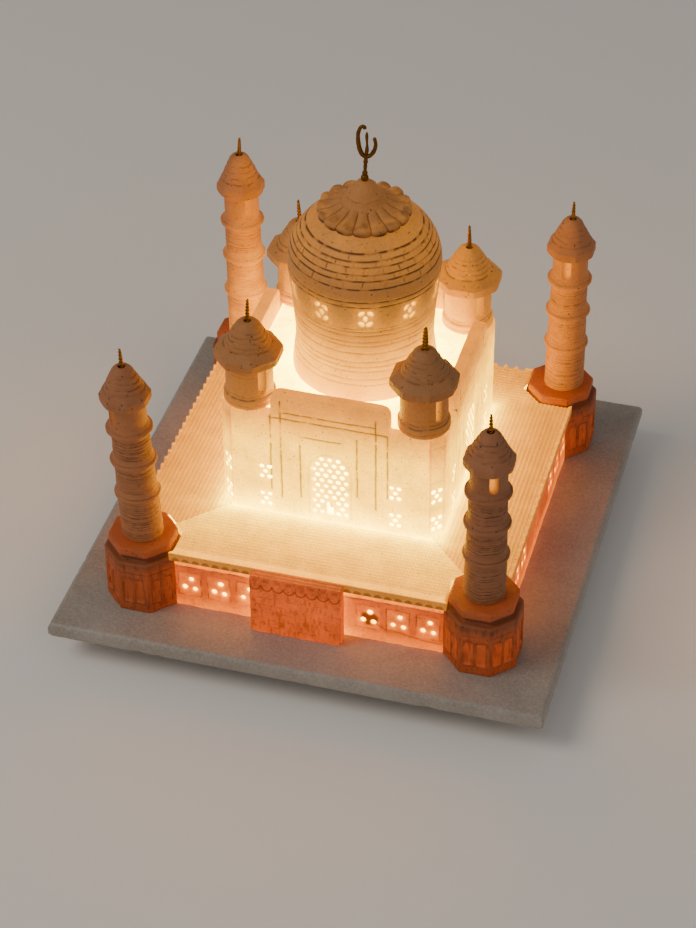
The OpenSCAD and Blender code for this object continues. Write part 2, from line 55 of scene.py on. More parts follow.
def addNode(tree, kind, settings=None, links=None, stops=None):
    # one node: settings are properties or input values, links are input: (node, output), stops are ramp stops
    node = tree.nodes.new(kind)
    for key, value in (settings or {}).items():
        if isinstance(key, str) and hasattr(node, key):
            setattr(node, key, value)
        else:
            node.inputs[key].default_value = value
    for key, (source, output) in (links or {}).items():
        tree.links.new(source.outputs[output], node.inputs[key])
    if stops:
        ramp = node.color_ramp.elements
        while len(ramp) < len(stops):
            ramp.new(0.5)
        for element, (place, colour) in zip(ramp, stops):
            element.position = place
            element.color = colour
    return node


def newMaterial(name):
    material = bpy.data.materials.new(name)
    material.use_nodes = True
    tree = material.node_tree
    tree.nodes.clear()
    output = tree.nodes.new("ShaderNodeOutputMaterial")
    shader = tree.nodes.new("ShaderNodeBsdfPrincipled")
    tree.links.new(shader.outputs[0], output.inputs["Surface"])
    place = tree.nodes.new("ShaderNodeTexCoord")
    return material, tree, shader, place


def smoothStep(low, high, value):
    t = np.clip((value - low) / (high - low), 0, 1)
    return t * t * (3 - 2 * t)


def lumps(points, size, seed):
    # smooth random field from -1 to 1, in lumps about size across
    q = np.asarray(points, float) / size + 31.7 + seed * 7.31
    cell = np.floor(q).astype(np.int64)
    f = q - cell
    f = f * f * (3 - 2 * f)
    total = np.zeros(len(q))
    for corner in range(8):
        step = np.array([corner & 1, corner >> 1 & 1, corner >> 2 & 1])
        c = cell + step
        h = c[:, 0] * 73856093 ^ c[:, 1] * 19349663 ^ c[:, 2] * 83492791 ^ seed * 2654435
        h = ((h ^ (h >> 13)) * 1274126177) & 0x7FFFFFFF
        h = (h ^ (h >> 11)) & 0xFFFF
        weight = np.prod(np.where(step == 1, f, 1 - f), axis=1)
        total += weight * (h / 32767.5 - 1)
    return total


def roughness(points, size, seed):
    # three sizes of lumps together, as on hand-worked stone
    return (lumps(points, size, seed) + 0.5 * lumps(points, size / 2.1, seed + 1)
            + 0.25 * lumps(points, size / 4.3, seed + 2)) / 1.75


def finishPiece(obj, material, body, replaced, attributes=None):
    obj.data.materials.clear()
    obj.data.materials.append(material)
    for name, values in (attributes or {}).items():
        layer = obj.data.attributes.new(name, "FLOAT", "POINT")
        layer.data.foreach_set("value", np.asarray(values, np.float32).ravel())
    obj.data.shade_smooth()
    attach(obj, body)
    if replaced:
        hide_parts(*replaced)
    return obj


def newObject(name, vertices, faces):
    mesh = bpy.data.meshes.new(name)
    mesh.from_pydata(vertices, [], faces)
    mesh.validate()
    obj = bpy.data.objects.new(name, mesh)
    bpy.context.scene.collection.objects.link(obj)
    return obj


def gridFaces(rows, columns, wrap, first=0):
    # quads of a rows by columns grid whose columns may close on themselves
    i, j = np.meshgrid(np.arange(rows - 1), np.arange(columns if wrap else columns - 1), indexing="ij")
    a = first + i * columns + j
    b = first + i * columns + (j + 1) % columns
    return np.stack([a, b, b + columns, a + columns], axis=-1).reshape(-1, 4).tolist()


def turnedObject(name, x, y, z):
    # closed round piece from rings of points, foot first
    rows, columns = x.shape
    ring = np.stack([x, y, z], axis=-1).reshape(-1, 3)
    ends = [[x[0].mean(), y[0].mean(), z[0].mean()], [x[-1].mean(), y[-1].mean(), z[-1].mean()]]
    faces = gridFaces(rows, columns, True)
    foot = rows * columns
    last = (rows - 1) * columns
    for j in range(columns):
        k = (j + 1) % columns
        faces.append([foot, k, j])
        faces.append([foot + 1, last + j, last + k])
    return newObject(name, np.vstack([ring, ends]) * mm, faces)


def resample(points, step):
    # points along a broken line, about step apart, keeping its corners
    out = []
    for a, b in zip(points[:-1], points[1:]):
        count = max(1, int(round(math.dist(a, b) / step)))
        out += [(a[0] + (b[0] - a[0]) * k / count, a[1] + (b[1] - a[1]) * k / count) for k in range(count)]
    return np.array(out + [points[-1]], float)


def softened(profile, passes):
    # rounds the corners of a resampled profile a little, as wear does
    p = profile.copy()
    for _ in range(passes):
        p[1:-1] = 0.25 * p[:-2] + 0.5 * p[1:-1] + 0.25 * p[2:]
    return p


def readPoints(obj):
    flat = np.zeros(len(obj.data.vertices) * 3, np.float32)
    obj.data.vertices.foreach_get("co", flat)
    return flat.reshape(-1, 3).astype(float)


def readNormals(obj):
    flat = np.zeros(len(obj.data.vertices) * 3, np.float32)
    obj.data.vertex_normals.foreach_get("vector", flat)
    return flat.reshape(-1, 3).astype(float)


def writePoints(obj, points):
    obj.data.vertices.foreach_set("co", points.astype(np.float32).ravel())
    obj.data.update()


def sawnCopy(name, node, cell, passes):
    # a fine even mesh in the shape of a CAD piece, its arrises eased
    obj = bpy.data.objects.new(name, nodes[node].data.copy())
    bpy.context.scene.collection.objects.link(obj)
    remesh = obj.modifiers.new("remesh", "REMESH")
    remesh.mode = "VOXEL"
    remesh.voxel_size = cell * mm
    evaluated = obj.evaluated_get(bpy.context.evaluated_depsgraph_get())
    fine = bpy.data.meshes.new_from_object(evaluated)
    obj.modifiers.clear()
    obj.data = fine
    obj.data.name = name
    edges = np.zeros(len(fine.edges) * 2, np.int32)
    fine.edges.foreach_get("vertices", edges)
    a, b = edges.reshape(-1, 2).T
    points = readPoints(obj)
    count = np.bincount(a, minlength=len(points)) + np.bincount(b, minlength=len(points))
    for _ in range(passes):
        near = np.stack([np.bincount(a, points[b, k], len(points)) + np.bincount(b, points[a, k], len(points))
                         for k in range(3)], axis=1)
        points += 0.5 * (near / count[:, None] - points)
    writePoints(obj, points)
    return obj


def lineDistance(u, v, line):
    # distance in mm from points to a straight line segment (u0, v0, u1, v1)
    u0, v0, u1, v1 = line
    du, dv = u1 - u0, v1 - v0
    t = np.clip(((u - u0) * du + (v - v0) * dv) / (du * du + dv * dv), 0, 1)
    return np.hypot(u - u0 - t * du, v - v0 - t * dv)


def scribed(u, v, lines, width, seed):
    # how deep each point lies in hand-scribed lines, 0 to 1, with a wandering edge
    wander = np.stack([u, v, np.full_like(u, seed * 3.0)], axis=1)
    su = u + 0.18 * lumps(wander, 4.0, seed)
    sv = v + 0.18 * lumps(wander, 4.0, seed + 5)
    deep = np.zeros_like(u)
    for line in lines:
        d = lineDistance(su, sv, line)
        deep = np.maximum(deep, np.exp(-(d / width) ** 2))
    return deep


view = {"azimuth": 16.176, "elevation": 39.192, "roll": -0.586, "target": (-0.01272, 0.02742, 0.019),
        "distance": 1.10072, "lens": 100.79}


def placeCamera():
    azimuth, elevation, roll = (math.radians(view[k]) for k in ("azimuth", "elevation", "roll"))
    back = Vector((math.sin(azimuth) * math.cos(elevation), -math.cos(azimuth) * math.cos(elevation),
                   math.sin(elevation)))
    right = (-back).cross(Vector((0, 0, 1))).normalized()
    up = right.cross(-back)
    across = math.cos(roll) * right + math.sin(roll) * up
    upward = math.cos(roll) * up - math.sin(roll) * right
    data = bpy.data.cameras.new("camera")
    data.lens = view["lens"]
    data.sensor_width = 36
    data.clip_start = 0.05
    obj = bpy.data.objects.new("camera", data)
    bpy.context.scene.collection.objects.link(obj)
    place = Matrix((across, upward, back)).transposed().to_4x4()
    place.translation = Vector(view["target"]) + view["distance"] * back
    obj.matrix_world = place
    bpy.context.scene.camera = obj


placeCamera()


def litAlabaster(name, look):
    # Alabaster, turned or scraped dry and left matt: a waxy pale stone that passes warm light from the lamp.
    # "glow" on the mesh is painted light, mostly standing in for the lamp light that comes through and in places for
    # light falling on the outside; the pigment attribute is the brown wax rubbed into the cuts and, in places, painted
    # shade.
    material, tree, shader, place = newMaterial(name)
    coords = (place, "Object")
    cloud = addNode(tree, "ShaderNodeTexNoise", {"Scale": 1 / (9 * mm), "Detail": 5, "Roughness": 0.6},
                    {"Vector": coords})          # cloudy patches about 9 mm across
    grain = addNode(tree, "ShaderNodeTexNoise", {"Scale": 1 / (0.9 * mm), "Detail": 3, "Roughness": 0.65},
                    {"Vector": coords})          # sugary crystal grain, drawn at 0.9 mm so that it shows
    pits = addNode(tree, "ShaderNodeTexVoronoi", {"Scale": 1 / (2.6 * mm), "Randomness": 1.0},
                   {"Vector": coords})           # small pits, some 2.6 mm apart
    pitMask = addNode(tree, "ShaderNodeMapRange", {"From Min": 0.04, "From Max": 0.16, "To Min": 1.0,
                                                   "To Max": 0.0}, {"Value": (pits, "Distance")})
    pitSome = addNode(tree, "ShaderNodeMath", {"operation": "GREATER_THAN", 1: 0.5},
                      {0: (pits, "Color")})      # only some of the cells hold a pit
    pit = addNode(tree, "ShaderNodeMath", {"operation": "MULTIPLY"}, {0: (pitMask, 0), 1: (pitSome, 0)})
    body = addNode(tree, "ShaderNodeMix", {"data_type": "RGBA", 6: linear(look["body"]),
                                           7: linear(look["cloud"])}, {0: (cloud, "Fac")})
    fleck = addNode(tree, "ShaderNodeMapRange", {"From Min": 0.56, "From Max": 0.8, "To Max": 0.35},
                    {"Value": (grain, "Fac")})
    flecked = addNode(tree, "ShaderNodeMix", {"data_type": "RGBA", 7: linear(look["fleck"])},
                      {0: (fleck, 0), 6: (body, 2)})
    glow = addNode(tree, "ShaderNodeAttribute", {"attribute_name": "glow"})
    amber = addNode(tree, "ShaderNodeMapRange", {"From Min": 0.3, "From Max": 2.0, "To Max": 0.9},
                    {"Value": (glow, "Fac")})    # painted light: the stone's colour is turned amber where the painted glow is strong
    glowTinted = addNode(tree, "ShaderNodeMix", {"data_type": "RGBA", 7: linear("#B87408")},
                      {0: (amber, 0), 6: (flecked, 2)})
    # the pigment attribute darkens the colour: brown wax in the cuts and, in places, painted shade
    pigmentAndShade = addNode(tree, "ShaderNodeAttribute", {"attribute_name": "pigmentAndShade"})
    stainAndShade = addNode(tree, "ShaderNodeMath", {"operation": "MAXIMUM"}, {0: (pigmentAndShade, "Fac"), 1: (pit, 0)})
    stainedAndShaded = addNode(tree, "ShaderNodeMix", {"data_type": "RGBA", 7: linear(look["pigmentAndShade"])},
                      {0: (stainAndShade, 0), 6: (glowTinted, 2)})
    tree.links.new(stainedAndShaded.outputs[2], shader.inputs["Base Color"])
    heat = addNode(tree, "ShaderNodeMath", {"operation": "DIVIDE", 1: 12.0}, {0: (glow, "Fac")})
    tint = addNode(tree, "ShaderNodeValToRGB", {}, {"Fac": (heat, 0)},
                   [(0.05, linear(look["dim"])), (0.25, linear(look["warm"])), (0.55, linear(look["hot"])),
                    (1.0, linear("#FFE640"))])   # thin stone lets yellower light through than thick
    tree.links.new(tint.outputs[0], shader.inputs["Emission Color"])
    blotch = addNode(tree, "ShaderNodeMapRange", {"From Min": 0.3, "From Max": 0.7, "To Min": 0.78,
                                                  "To Max": 1.18}, {"Value": (cloud, "Fac")})
    blocked = addNode(tree, "ShaderNodeMath", {"operation": "MULTIPLY_ADD", 1: -0.85, 2: 1.0},
                      {0: (stainAndShade, 0)})           # pigment and painted shade hold back the painted glow
    passed = addNode(tree, "ShaderNodeMath", {"operation": "MULTIPLY"}, {0: (blotch, 0), 1: (blocked, 0)})
    sugar = addNode(tree, "ShaderNodeMapRange", {"From Min": 0.3, "From Max": 0.75,
                                                 "To Min": 1.2 * look["lit"], "To Max": 0.72 * look["lit"]},
                    {"Value": (grain, "Fac")})
    grainy = addNode(tree, "ShaderNodeMath", {"operation": "MULTIPLY"}, {0: (passed, 0), 1: (sugar, 0)})
    strength = addNode(tree, "ShaderNodeMath", {"operation": "MULTIPLY"}, {0: (glow, "Fac"), 1: (grainy, 0)})
    tree.links.new(strength.outputs[0], shader.inputs["Emission Strength"])
    rough = addNode(tree, "ShaderNodeMapRange", {"To Min": 0.52, "To Max": 0.74}, {"Value": (grain, "Fac")})
    tree.links.new(rough.outputs[0], shader.inputs["Roughness"])
    shader.inputs["IOR"].default_value = 1.52
    shader.inputs["Subsurface Weight"].default_value = look["through"]
    shader.inputs["Subsurface Radius"].default_value = (1.0, 0.55, 0.28)
    shader.inputs["Subsurface Scale"].default_value = 3 * mm
    height = addNode(tree, "ShaderNodeMath", {"operation": "MULTIPLY_ADD", 1: -1.6},
                     {0: (pit, 0), 2: (grain, "Fac")})
    bump = addNode(tree, "ShaderNodeBump", {"Strength": 0.7, "Distance": 0.2 * mm}, {"Height": (height, 0)})
    tree.links.new(bump.outputs[0], shader.inputs["Normal"])
    return material


# painted shade and light: the body colours are browner than the pale cream stone, darkest on the plinth and the turned
# towers, standing in for the shade and the warm lamp light the stone sits in
stoneLooks = {
    "hall": {"body": "#C29A5C", "cloud": "#B08244", "fleck": "#8A6236", "pigmentAndShade": "#46240C",
             "dim": "#FF9212", "warm": "#FFBC08", "hot": "#FFD419", "through": 0.15,
             "lit": 1.3},
    "terrace": {"body": "#BC9150", "cloud": "#A67A3C", "fleck": "#85602F", "pigmentAndShade": "#5A3210",
                "dim": "#FF9010", "warm": "#FFBA08", "hot": "#FFD416", "through": 0.15,
                "lit": 1.25},
    "plinth": {"body": "#94572F", "cloud": "#814624", "fleck": "#5A2E14", "pigmentAndShade": "#2E1208",
               "dim": "#FF5A06", "warm": "#FF8E04", "hot": "#FFC418", "through": 0.12,
               "lit": 1.2},
    "turned": {"body": "#B0744E", "cloud": "#945F3A", "fleck": "#6A3F24", "pigmentAndShade": "#26130B",
               "dim": "#FF8C12", "warm": "#FFB408", "hot": "#FFCE19", "through": 0.12,
               "lit": 1.1},
    "dome": {"body": "#BA8250", "cloud": "#A06A3A", "fleck": "#744622", "pigmentAndShade": "#28140F",
             "dim": "#FF9A10", "warm": "#FFC006", "hot": "#FFD614", "through": 0.12,
             "lit": 1.1}}

hallStone = litAlabaster("scrapedAlabaster", stoneLooks["hall"])
terraceStone = litAlabaster("flutedAlabaster", stoneLooks["terrace"])
plinthStone = litAlabaster("rubbedShadedAlabaster", stoneLooks["plinth"])
turnedStone = litAlabaster("turnedShadedAlabaster", stoneLooks["turned"])
domeStone = litAlabaster("goldenAlabaster", stoneLooks["dome"])
print("stone materials made")


def slabMarble():
    # Marble, sawn and honed: a cool grey-beige crystalline stone, dull with a faint sheen on the flats.
    material, tree, shader, place = newMaterial("honedMarble")
    coords = (place, "Object")
    cloud = addNode(tree, "ShaderNodeTexNoise", {"Scale": 1 / (30 * mm), "Detail": 6, "Roughness": 0.62,
                                                 "Distortion": 0.8}, {"Vector": coords})
    grain = addNode(tree, "ShaderNodeTexNoise", {"Scale": 1 / (1.1 * mm), "Detail": 4, "Roughness": 0.7},
                    {"Vector": coords})          # crystals about a millimetre across
    speck = addNode(tree, "ShaderNodeTexVoronoi", {"Scale": 1 / (2.7 * mm)}, {"Vector": coords})
    base = addNode(tree, "ShaderNodeValToRGB", {}, {"Fac": (cloud, "Fac")},
                   [(0.3, linear("#8F867C")), (0.5, linear("#9A9187")), (0.72, linear("#A59C92"))])
    crystal = addNode(tree, "ShaderNodeMapRange", {"From Min": 0.4, "From Max": 0.72, "To Max": 0.38},
                      {"Value": (grain, "Fac")})
    sugary = addNode(tree, "ShaderNodeMix", {"data_type": "RGBA", 7: linear("#D2CAC0")},
                     {0: (crystal, 0), 6: (base, 0)})
    dot = addNode(tree, "ShaderNodeMapRange", {"From Min": 0.05, "From Max": 0.13, "To Min": 0.35,
                                               "To Max": 0.0}, {"Value": (speck, "Distance")})
    speckled = addNode(tree, "ShaderNodeMix", {"data_type": "RGBA", 7: linear("#5F554C")},
                       {0: (dot, 0), 6: (sugary, 2)})
    tree.links.new(speckled.outputs[2], shader.inputs["Base Color"])
    rough = addNode(tree, "ShaderNodeMapRange", {"To Min": 0.34, "To Max": 0.58}, {"Value": (grain, "Fac")})
    tree.links.new(rough.outputs[0], shader.inputs["Roughness"])
    shader.inputs["IOR"].default_value = 1.5
    shader.inputs["Subsurface Weight"].default_value = 0.08
    shader.inputs["Subsurface Radius"].default_value = (1.0, 0.7, 0.5)
    shader.inputs["Subsurface Scale"].default_value = 2 * mm
    bump = addNode(tree, "ShaderNodeBump", {"Strength": 0.35, "Distance": 0.1 * mm}, {"Height": (grain, "Fac")})
    tree.links.new(bump.outputs[0], shader.inputs["Normal"])
    return material


def plainFinish(name, look):
    # one maker's finish: colour in two tones with fine grain, for the pieces of the lamp and the fittings
    material, tree, shader, place = newMaterial(name)
    noise = addNode(tree, "ShaderNodeTexNoise", {"Scale": 1 / (look["grain"] * mm), "Detail": 4,
                                                 "Roughness": 0.6}, {"Vector": (place, "Object")})
    tone = addNode(tree, "ShaderNodeMix", {"data_type": "RGBA", 6: linear(look["colour"]),
                                           7: linear(look["worn"])}, {0: (noise, "Fac")})
    tree.links.new(tone.outputs[2], shader.inputs["Base Color"])
    low, high = look["rough"]
    rough = addNode(tree, "ShaderNodeMapRange", {"To Min": low, "To Max": high}, {"Value": (noise, "Fac")})
    tree.links.new(rough.outputs[0], shader.inputs["Roughness"])
    shader.inputs["Metallic"].default_value = look.get("metal", 0)
    if "ior" in look:
        shader.inputs["IOR"].default_value = look["ior"]
    if "clear" in look:
        shader.inputs["Transmission Weight"].default_value = look["clear"]
    if "light" in look:
        shader.inputs["Emission Color"].default_value = linear(look["lit"])
        shader.inputs["Emission Strength"].default_value = look["light"]
    bump = addNode(tree, "ShaderNodeBump", {"Strength": 0.3, "Distance": look["relief"] * mm},
                   {"Height": (noise, "Fac")})
    tree.links.new(bump.outputs[0], shader.inputs["Normal"])
    return material


# Brass wire, drawn and twisted: brown with tarnish, bright yellow where the turns are rubbed.
pinBrass = plainFinish("twistedBrassWire", {"colour": "#C98A2A", "worn": "#5A3210", "grain": 1.1,
                                            "rough": (0.2, 0.42), "metal": 1, "relief": 0.05})
# Brass, cast and left to age: nearly black brown, with a little yellow where it is handled.
finialBrass = plainFinish("agedCastBrass", {"colour": "#4A2E12", "worn": "#9A6526", "grain": 1.1,
                                            "rough": (0.3, 0.55), "metal": 1, "relief": 0.08})
# Rubber, moulded: dead black with a dusty bloom.
footRubber = plainFinish("mouldedRubber", {"colour": "#1B1A1A", "worn": "#343130", "grain": 0.8,
                                           "rough": (0.7, 0.9), "ior": 1.52, "relief": 0.05})
# Steel, pressed and zinc plated: pale grey with faint crystal spangle.
zincSteel = plainFinish("zincPlatedSteel", {"colour": "#C9CACC", "worn": "#9FA3A8", "grain": 3.0,
                                            "rough": (0.28, 0.45), "metal": 1, "relief": 0.03})
# Porcelain, cast and glazed: clean white under a hard shine.
porcelain = plainFinish("glazedPorcelain", {"colour": "#F2EFE8", "worn": "#E2DCCF", "grain": 5.0,
                                            "rough": (0.08, 0.16), "ior": 1.5, "relief": 0.02})
# Brass sheet, rolled into a thread: pale yellow, smooth, slightly dulled.
shellBrass = plainFinish("rolledBrassSheet", {"colour": "#D8B56A", "worn": "#B08C48", "grain": 2.0,
                                              "rough": (0.25, 0.4), "metal": 1, "relief": 0.02})
# Black glass, pressed into the cap: deep black and shiny.
blackGlass = plainFinish("pressedBlackGlass", {"colour": "#141212", "worn": "#241F1C", "grain": 2.0,
                                               "rough": (0.1, 0.25), "ior": 1.52, "relief": 0.02})
# Glass, blown thin and clear: shows the filament, with slight waves.
bulbGlass = plainFinish("blownGlass", {"colour": "#FFF3DC", "worn": "#FFEBC4", "grain": 12.0,
                                       "rough": (0.0, 0.03), "ior": 1.5, "clear": 1.0, "relief": 0.02})
# Tungsten wire, drawn and coiled, glowing at full heat.
tungsten = plainFinish("glowingTungsten", {"colour": "#6B6460", "worn": "#8C847C", "grain": 0.6,
                                           "rough": (0.3, 0.5), "metal": 1, "relief": 0.02,
                                           "lit": "#FFC36B", "light": 40.0})
slabStone = slabMarble()
cadFinishes = {"feet": footRubber, "cord_grommet": footRubber, "lamp_plate": zincSteel,
               "plate_screws": zincSteel, "lamp_holder": porcelain, "bulb_shell": shellBrass,
               "bulb_contact": blackGlass, "bulb_glass": bulbGlass, "bulb_filament": tungsten}
for node, finish in cadFinishes.items():
    nodes[node].data.materials.clear()
    nodes[node].data.materials.append(finish)
print("fittings finished")

hall = {"middleY": 3.3, "half": 45.5, "flat": 39.6, "foot": 47.05, "eaves": 95.65, "gable": 23.7,
        "cell": 0.36, "scribe": 0.34, "depth": 0.42, "inside": 12.0}
# hand-scribed frames on a wall, each (x, height, x, height) in mm from the middle of its foot
wallLines = [(-20, 50.6, 18.6, 50.6), (-24.2, 47.7, 23.3, 47.7), (-23.9, 12, -23.9, 49), (-19.7, 7, -19.7, 56),
             (18.6, 10, 18.6, 54), (23.2, 17, 23.2, 47.7), (-11.6, 40.2, 4.5, 40.2), (-11.9, 10, -11.9, 36),
             (11, 15, 11, 43.5)]
archLines = [(8.6 * math.cos(a), 25 + 8.6 * math.sin(a), 8.6 * math.cos(a + 0.27), 25 + 8.6 * math.sin(a + 0.27))
             for a in np.arange(0, math.pi - 0.1, 0.262)] + [(-8.6, 3, -8.6, 25), (8.6, 3, 8.6, 25)]


def turnedTo(points, i, middleY=0.0):
    # points in mm, turned about the middle so that side i faces front
    angle = -math.pi / 2 * i
    x, y = points[:, 0] / mm, points[:, 1] / mm - middleY
    return (x * math.cos(angle) - y * math.sin(angle), x * math.sin(angle) + y * math.cos(angle),
            points[:, 2] / mm)


def boxDistance(u, v, middleU, middleV, halfU, halfV):
    # distance outside a rectangle on a face
    return np.hypot(np.maximum(0, np.abs(u - middleU) - halfU), np.maximum(0, np.abs(v - middleV) - halfV))


def hallWall(i):
    obj = sawnCopy("carved_wall_" + sides[i], "hall_wall_" + sides[i], hall["cell"], 2)
    points, normals = readPoints(obj), readNormals(obj)
    u, out, z = turnedTo(points, i, hall["middleY"])
    v = z - hall["foot"]
    depth = out + hall["half"]
    outer = smoothStep(1.6, 0.6, depth)
    broken = smoothStep(-0.75, -0.05, roughness(points, 2.6 * mm, 5 + i))
    cut = scribed(u, v, wallLines, hall["scribe"], i) * outer * broken
    cut = np.maximum(cut, 0.3 * outer * scribed(u, v, archLines, hall["scribe"], i))
    points += normals * ((0.2 * roughness(points, 4 * mm, i) - hall["depth"] * cut) * mm)[:, None]
    writePoints(obj, points)
    window = np.min([boxDistance(u, v, s * 26.4, w, 2.0, 3.2) for s in (-1, 1) for w in (6.3, 20)], axis=0)
    grille = boxDistance(u, v, 0, 17, 6.5, 14.5)
    bright = 0.85 + 2.1 * smoothStep(59, 30, v) + 4.2 * np.exp(-v / 7)
    bright += 0.6 * np.exp(-window / 1.6) + 0.8 * np.exp(-grille / 3)
    pierced = (depth > 0.3) & (np.minimum(window, grille) < 0.4) & (np.abs(depth - 3) < 4)
    glow = np.where(pierced | ((depth > 2.2) & (v < 48)), hall["inside"], bright)
    return finishPiece(obj, hallStone, "hall", ["hall_wall_" + sides[i]],
                       {"glow": glow, "pigmentAndShade": np.minimum(1, cut * 1.1)})


def hallCorner(i):
    name = "hall_corner_" + corners[i]
    obj = sawnCopy("carved_corner_" + corners[i], name, hall["cell"], 2)
    points, normals = readPoints(obj), readNormals(obj)
    x, y, z = turnedTo(points, i, hall["middleY"])
    v = z - hall["foot"]
    across = (x - y) / math.sqrt(2)
    depth = (hall["half"] + hall["flat"]) / math.sqrt(2) + (x + y) / math.sqrt(2)
    outer = smoothStep(1.6, 0.6, depth)
    lines = [(-3.1, 0, -3.1, 48), (3.1, 0, 3.1, 48), (-3.1, 27, 3.1, 27), (-3.1, 44, 3.1, 44)]
    cut = scribed(across, v, lines, 0.3, 10 + i) * outer * 0.6
    points += normals * ((0.16 * roughness(points, 5 * mm, 20 + i) - 0.3 * cut) * mm)[:, None]
    writePoints(obj, points)
    window = np.min([boxDistance(across, v, 0, w, 2.0, 3.2) for w in (6.3, 20)], axis=0)
    bright = 1.2 + 1.5 * smoothStep(48, 26, v) + 3.6 * np.exp(-v / 7) + 0.6 * np.exp(-window / 1.6)
    glow = np.where((depth > 2.2) | ((depth > 0.3) & (window < 0.4)), hall["inside"], bright)
    return finishPiece(obj, hallStone, "hall", [name],
                       {"glow": glow, "pigmentAndShade": cut * 0.6})


def hallRoof():
    obj = sawnCopy("roof_plate", "hall_roof", 0.8, 2)
    points, normals = readPoints(obj), readNormals(obj)
    points += normals * (0.12 * roughness(points, 6 * mm, 31) * mm)[:, None]
    writePoints(obj, points)
    x, y, z = turnedTo(points, 0, hall["middleY"])
    away = np.hypot(x - 1.8, y) - 28
    glow = 7.5 + 4.5 * np.exp(-np.maximum(0, away) / 9)
    return finishPiece(obj, hallStone, "hall", ["hall_roof"],
                       {"glow": glow, "pigmentAndShade": np.zeros(len(points))})


for i in range(4):
    hallWall(i)
    hallCorner(i)
hallRoof()
print("hall carved")

plinth = {"outer": 75.0, "edge": 76.6, "slabTop": 19.0, "top": 47.0, "board": 4.0, "opening": 36.0,
          "blockAt": 69.0, "blockHalf": 14.5, "flute": 1.75, "fluteDeep": 0.42, "hatch": 1.15, "scallop": 4.6}


def plinthWall(i):
    name = "plinth_wall_" + sides[i]
    obj = sawnCopy("carved_" + name, name, 0.42, 2)
    points, normals = readPoints(obj), readNormals(obj)
    u, out, z = turnedTo(points, i)
    v = z - plinth["slabTop"]
    depth = out + plinth["outer"]
    outer = smoothStep(1.4, 0.5, depth)
    rng = np.random.default_rng(40 + i)
    span = 54.5 - 18.4
    middles = [s * (54.5 - span * (k + 0.5) / 3) for s in (-1, 1) for k in range(3)]
    lines = []
    for m in middles:
        lines += [(m - 4.6, 6, m + 4.6, 6), (m - 4.6, 17.6, m + 4.6, 17.6), (m - 4.6, 6, m - 4.6, 17.6),
                  (m + 4.6, 6, m + 4.6, 17.6)]
    lines.append((-55, 20.6, 55, 20.4))
    crack = [(26, 9.6, 31, 7.2), (31, 7.2, 38, 6.2), (38, 6.2, 47, 4.4), (47, 4.4, 54, 4.6)] if i == 0 else []
    cut = scribed(u, v, lines, 0.28, 40 + i) * outer * smoothStep(-0.4, 0.5, lumps(points, 3 * mm, 44))
    cut = np.maximum(cut, scribed(u + 0.8 * lumps(points, 2 * mm, 46), v, crack, 0.32, 47) * outer)
    points += normals * ((0.28 * roughness(points, 4 * mm, 48 + i) - 0.3 * cut) * mm)[:, None]
    writePoints(obj, points)
    hole = np.min([np.hypot(u - m - a, v - b) for m in middles
                   for a, b in ((-2, 10), (2.2, 9.6), (0.8, 14.4))], axis=0)
    patch = roughness(points, 9 * mm, 52 + i)
    panel = np.min([boxDistance(u, v, m, 11.8, 4.2, 5.4) for m in middles], axis=0)
    bright = 0.7 + 0.85 * smoothStep(9, 0, v) + 0.35 * patch + 0.25 * smoothStep(0.8, 0, panel)
    bright += 0.9 * np.exp(-np.maximum(0, np.abs(u + 3.1) - 18.4) / 5) * (i == 0)
    bead = 0.75 + 0.25 * np.cos(2 * math.pi * u / 1.3) * np.cos(2 * math.pi * v / 1.2)
    bright += 1.5 * bead * smoothStep(20.7, 21.2, v) + 1.8 * np.exp(-np.maximum(0, hole - 0.9) / 0.6)
    ragged = np.hypot(u - middles[5] - 0.6, v - 11.2) + 1.3 * roughness(points, 3 * mm, 58)
    knot = smoothStep(4.2, 2.4, ragged) * (i == 0) * smoothStep(1.1, 1.5, hole)
    scrape = 0.5 * np.maximum(0, roughness(points, 1.8 * mm, 57)) * outer
    speckle = 0.7 * smoothStep(0.5, 0.66, roughness(points, 1.1 * mm, 59)) * outer
    pigmentAndShade = np.max([cut * 0.8, scrape, speckle, knot * 0.95], axis=0)
    return finishPiece(obj, plinthStone, "base", [name],
                       {"glow": np.where((depth > 2.0) | ((depth > 0.3) & (hole < 1.4)), 8.0, bright),
                        "pigmentAndShade": pigmentAndShade})


